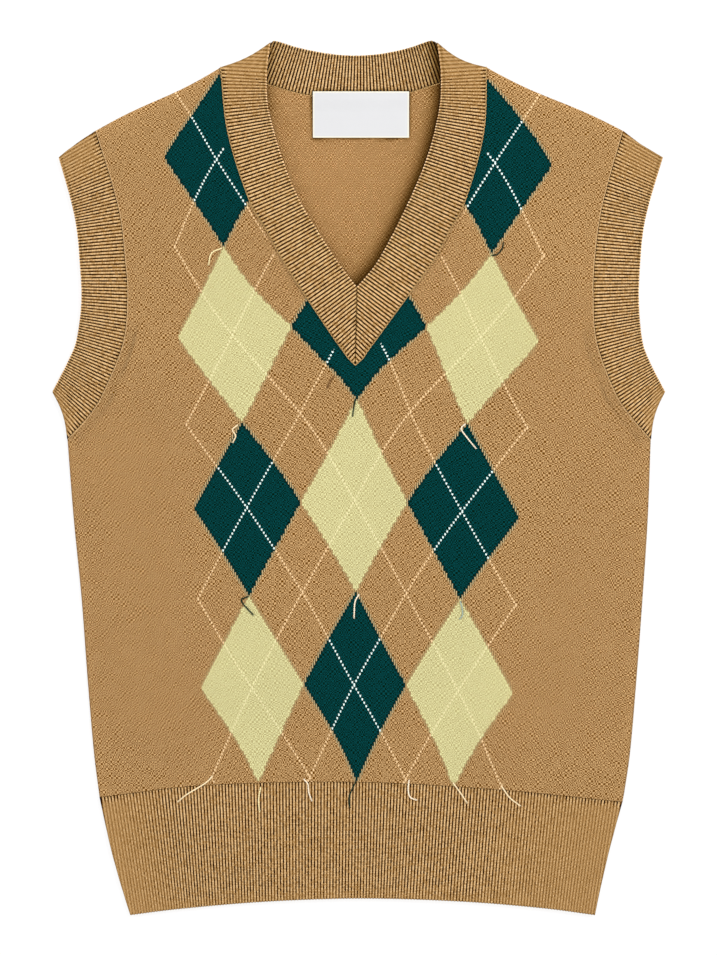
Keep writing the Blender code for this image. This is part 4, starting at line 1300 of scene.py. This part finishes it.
# ---- label ---------------------------------------------------------------------------------
# A smooth white woven label, sewn inside the back neck over the seam. It is left bare. Its
# lower part lies on the back and its upper part on the neck rib.
BACK_RIB_TOP = BAND_WALL + RIB_RISE
LABEL_THREAD = 0.35
LABEL_WHITE = (0.690, 0.690, 0.700)
LABEL_RIM = (0.82, 0.79, 0.68)
LABEL_ROUND = 1.2         # width of its rounded edge
LABEL_STEP = {"from": 0.56, "over": 0.30}    # where it climbs onto the rib, as shares of its height
LABEL_WAVE = {"high": 0.12, "long": 11.0, "start": 0.6}
LABEL_COLUMNS = 73
LABEL_ROWS = 41
label_finish = Finish("white_label_weave", 0.10, (1.0, 1.0, 1.0), gloss=0.35)
across, up = label_finish.pair("weave")
weave = across.wave() * up.wave()
rim = label_finish.pair("rim")[0].eased(0.5, 1.5)
light = weave.between(0.955, 1.0) * label_finish.cloud(60.0).between(0.985, 1.01)
colour = either(rim, LABEL_RIM, dyed(LABEL_WHITE, light))
label_finish.dress(colour, weave, 0.05, label_finish.cloud(500.0).between(0.50, 0.62))

grid_x, grid_y = np.meshgrid(np.linspace(LABEL["left"], LABEL["right"], LABEL_COLUMNS),
                             np.linspace(LABEL["bottom"], LABEL["top"], LABEL_ROWS))
flat = np.column_stack([grid_x.ravel(), grid_y.ravel()])
up_share = (flat[:, 1] - LABEL["bottom"]) / (LABEL["top"] - LABEL["bottom"])
step_up = np.clip((up_share - LABEL_STEP["from"]) / LABEL_STEP["over"], 0.0, 1.0)
step_up = step_up * step_up * (3 - 2 * step_up)
bed = PANEL_WALL + SEAM_GAP + (BACK_RIB_TOP - PANEL_WALL) * step_up
wave = LABEL_WAVE["high"] * np.sin(flat[:, 0] / LABEL_WAVE["long"] + LABEL_WAVE["start"])
bed = bed + wave * np.sin(np.pi * np.clip(up_share, 0, 1))
rim_distance = np.minimum.reduce([
    flat[:, 0] - LABEL["left"], LABEL["right"] - flat[:, 0],
    flat[:, 1] - LABEL["bottom"], LABEL["top"] - flat[:, 1]])
wall = LABEL["wall"] * (0.6 + 0.4 * rounded(rim_distance, LABEL_ROUND))
top = np.column_stack([flat, bed + wall])
under = np.column_stack([flat, bed])
faces = facing_up(flat, grid_faces(LABEL_ROWS, LABEL_COLUMNS))
maps = {"weave": flat / LABEL_THREAD, "rim": np.column_stack([rim_distance] * 2)}
woven_label = closed_cloth("woven_label", top, under, faces, maps, [label_finish])
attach(woven_label, "root")
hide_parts("neck_label")


# ---- linking seams -------------------------------------------------------------------------
# The neck and armhole strips are linked on loop by loop, which leaves a fine chain of camel
# yarn along each seam. Each loop of the chain is a small slanted bead.
LINK_PITCH = 1.9
LINK_LOW = {"neck": 5.3, "armhole": 5.0, "back neck": 2.2}     # the lowest that each chain lies
NECK_BEAD = (1.2, 0.36, 0.42)     # half its length, width and height
ARMHOLE_BEAD = (1.0, 0.30, 0.36)
BACK_NECK_BEAD = (0.9, 0.30, 0.36)
LINK_ASIDE = 0.4          # the armhole and back neck chains lie this far off their seams
FRONT_SLANT = 0.12        # how far the beads turn out of their chain's line
BACK_SLANT = 0.45


def yarn_finish(name, tone, fibres=2200.0, streaks=(0.8, 1.2), depth=0.10, sheen=0.01):
    """The look of a single yarn, streaked by its fibres."""
    finish = Finish(name, sheen)
    fibre = finish.cloud(fibres)
    finish.dress(dyed(tone, fibre.between(*streaks)), fibre, depth)
    return finish


def bead_shape(around=7, along=5):
    """Points and faces of one bead of radius 1, long in X."""
    points, faces = [(-1.0, 0.0, 0.0)], []
    for k in range(1, along):
        angle = math.pi * k / along
        for m in range(around):
            turn = 2 * math.pi * m / around
            points.append((-math.cos(angle), math.sin(angle) * math.cos(turn),
                           math.sin(angle) * math.sin(turn)))
    points.append((1.0, 0.0, 0.0))
    last = len(points) - 1
    for m in range(around):
        after = (m + 1) % around
        faces.append((0, 1 + after, 1 + m))
        faces.append((last, last - around + m, last - around + after))
        for k in range(along - 2):
            a, b = 1 + k * around + m, 1 + k * around + after
            faces.append((a, b, b + around, a + around))
    return np.array(points), faces


def linking(name, line, heights, half_size, slant, finish):
    """A chain of beads along a line, as one piece."""
    run = run_along(line)[-1]
    count = int(run / LINK_PITCH)
    shares = (np.arange(count) + 0.5) / count
    at = spread(line, shares)
    ahead = spread(line, np.clip(shares + 0.002, 0, 1)) - spread(line, np.clip(shares - 0.002, 0, 1))
    z = np.interp(shares, evenly(len(heights)), heights)
    shape, faces = bead_shape()
    points, all_faces = [], []
    for k in range(count):
        angle = math.atan2(ahead[k, 1], ahead[k, 0]) + slant + 0.12 * math.sin(k * 2.399)
        size = np.array(half_size) * (1 + 0.08 * math.sin(k * 1.7))
        body = shape * size
        x = body[:, 0] * math.cos(angle) - body[:, 1] * math.sin(angle) + at[k, 0]
        y = body[:, 0] * math.sin(angle) + body[:, 1] * math.cos(angle) + at[k, 1]
        points.append(np.column_stack([x, y, body[:, 2] + z[k]]))
        all_faces += [tuple(index + k * len(shape) for index in face) for face in faces]
    piece = new_piece(name, np.vstack(points), all_faces, [finish.material])
    piece.data.shade_smooth()
    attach(piece, "root")


link_finish = yarn_finish("camel_linking_yarn", (0.66, 0.43, 0.18))
arm_link_finish = yarn_finish("camel_armhole_linking_yarn", (0.76, 0.53, 0.27))
for side in SIDES:
    line = neck_line(side)
    heights = np.maximum(front_heights(line)[1], LINK_LOW["neck"])
    linking("neck_linking_" + side, line, heights, NECK_BEAD, FRONT_SLANT, link_finish)
    line = moved_aside(armhole_line(side), outward(side, -LINK_ASIDE))
    heights = np.maximum(front_heights(line)[1], LINK_LOW["armhole"])
    linking("armhole_linking_" + side, line, heights, ARMHOLE_BEAD, FRONT_SLANT,
            arm_link_finish)
line = across_line(BACK_NECK_SEAM, evenly(97)) - np.array([0.0, LINK_ASIDE])
heights = np.full(len(line), LINK_LOW["back neck"])
linking("back_neck_linking", line, heights, BACK_NECK_BEAD, BACK_SLANT, link_finish)


# ---- loose yarn ends -----------------------------------------------------------------------
# Where a yarn of the diamonds starts or stops, its end is left hanging on the face. Each is a
# soft two-ply yarn lying on the knit, a little untwisted at its tip.
YARN_THICK = 1.1
TWIST = 3.2               # length of one turn of the two plies
PLY_OFF = 0.25            # how far each ply is off the middle, as a share of the yarn
PLY_RADIUS = 0.27
RIB_STEP = {"ahead": 2.0, "over": 3.0}     # where an end climbs onto the hem rib
UP = np.array([0.0, 0.0, 1.0])
YARN_COLOURS = {
    "yellow": (0.95, 0.84, 0.50),
    "green": (0.010, 0.034, 0.022),
    "camel": (0.24, 0.12, 0.045),
    "cream": (0.98, 0.84, 0.57),
    "white": (1.00, 0.89, 0.71),
    "grey": (0.42, 0.50, 0.42),
}
YARN_ENDS = rows_of(
    "yarn places",
    ("yellow", ((-102.5, 171.4), (-110.0, 167.6), (-112.3, 158.6))),
    ("green", ((99.2, 166.1), (103.7, 166.9), (107.4, 171.4), (108.2, 175.9))),
    ("camel", ((-18.5, 76.1), (-22.3, 70.1), (-23.4, 66.4))),
    ("green", ((-2.4, 58.9), (-3.5, 52.9), (-4.7, 45.4))),
    ("cream", ((-90.5, 39.4), (-94.3, 35.6), (-92.0, 31.1), (-94.3, 25.9))),
    ("white", ((79.7, 40.1), (76.7, 36.4), (81.2, 29.6), (88.0, 21.4))),
    ("green", ((-82.3, -88.9), (-87.5, -91.1), (-86.0, -94.9), (-78.5, -103.1))),
    ("white", ((0.2, -87.4), (-2.8, -93.4), (-3.5, -105.4))),
    ("grey", ((76.0, -92.6), (77.5, -98.6), (77.5, -103.1), (75.2, -106.1))),
    ("cream", ((-109.3, -223.1), (-114.5, -228.4), (-128.0, -236.6), (-135.5, -242.6))),
    ("yellow", ((-73.3, -231.4), (-74.8, -241.1), (-74.0, -250.1))),
    ("white", ((-41.0, -225.4), (-38.0, -229.1), (-37.3, -235.1), (-35.0, -241.9))),
    ("green", ((-2.0, -226.9), (-5.8, -235.1), (-7.3, -241.1), (-6.5, -247.1))),
    ("white", ((37.7, -226.1), (37.0, -232.9), (38.5, -238.9), (43.7, -241.1))),
    ("cream", ((70.7, -228.4), (76.7, -236.6), (81.2, -243.4))),
    ("cream", ((106.7, -230.6), (112.7, -239.0), (121.0, -245.6))),
)

yarn_finishes = {}
for yarn, tone in YARN_COLOURS.items():
    yarn_finishes[yarn] = yarn_finish(yarn + "_yarn_end", tone, 2600.0, (0.82, 1.15), 0.12, 0.03)


def lying_height(path):
    """Top of the cloth under each place of a path."""
    height = front_heights(path)[1]
    seam_y = np.interp(path[:, 0], hem_seam[:, 0], hem_seam[:, 1])
    over_rib = np.clip((seam_y - path[:, 1] + RIB_STEP["ahead"]) / RIB_STEP["over"], 0.0, 1.0)
    rib_top = BAND_BED + BAND_WALL + RIB_RISE
    return np.where(over_rib > 0, np.maximum(height * (1 - over_rib) + rib_top * over_rib,
                                             np.where(seam_y < path[:, 1], height, 0)), height)


def ply(path, radii, sides=7):
    """A round tube along a path with a radius at each place."""
    way = ways_of(path)
    aside = np.cross(way, UP)
    aside = aside / np.linalg.norm(aside, axis=1)[:, None]
    over = np.cross(aside, way)
    points, faces = [], []
    for k in range(len(path)):
        for m in range(sides):
            turn = 2 * math.pi * m / sides
            points.append(path[k] + radii[k] * (aside[k] * math.cos(turn)
                                                + over[k] * math.sin(turn)))
    for k in range(len(path) - 1):
        for m in range(sides):
            a, b = k * sides + m, k * sides + (m + 1) % sides
            faces.append((a, b, b + sides, a + sides))
    faces.append(tuple(range(sides))[::-1])
    faces.append(tuple(range((len(path) - 1) * sides, len(path) * sides)))
    return points, faces


for number, row in enumerate(YARN_ENDS, start=1):
    flat = smooth_line(row["places"], evenly(90))
    run = run_along(flat)
    height = lying_height(flat) + YARN_THICK / 2 + 0.05
    middle_path = np.column_stack([flat, height])
    way = ways_of(middle_path)
    aside = np.cross(way, UP)
    over = np.cross(aside, way)
    thin = 1 - 0.35 * (run / run[-1]) ** 6
    points, faces = [], []
    for half_turn in (0.0, math.pi):
        turn = (2 * math.pi * run / TWIST + half_turn)[:, None]
        apart = (YARN_THICK * PLY_OFF * (1 + 0.8 * (run / run[-1]) ** 8))[:, None]
        path = middle_path + (aside * np.cos(turn) + over * np.sin(turn)) * apart
        more, more_faces = ply(path, YARN_THICK * PLY_RADIUS * thin)
        faces += [tuple(k + len(points) for k in face) for face in more_faces]
        points += more
    finish = yarn_finishes[row["yarn"]]
    piece = new_piece("loose_yarn_%02d" % number, points, faces, [finish.material])
    piece.data.shade_smooth()
    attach(piece, "root")
    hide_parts("yarn_end_%02d" % number)
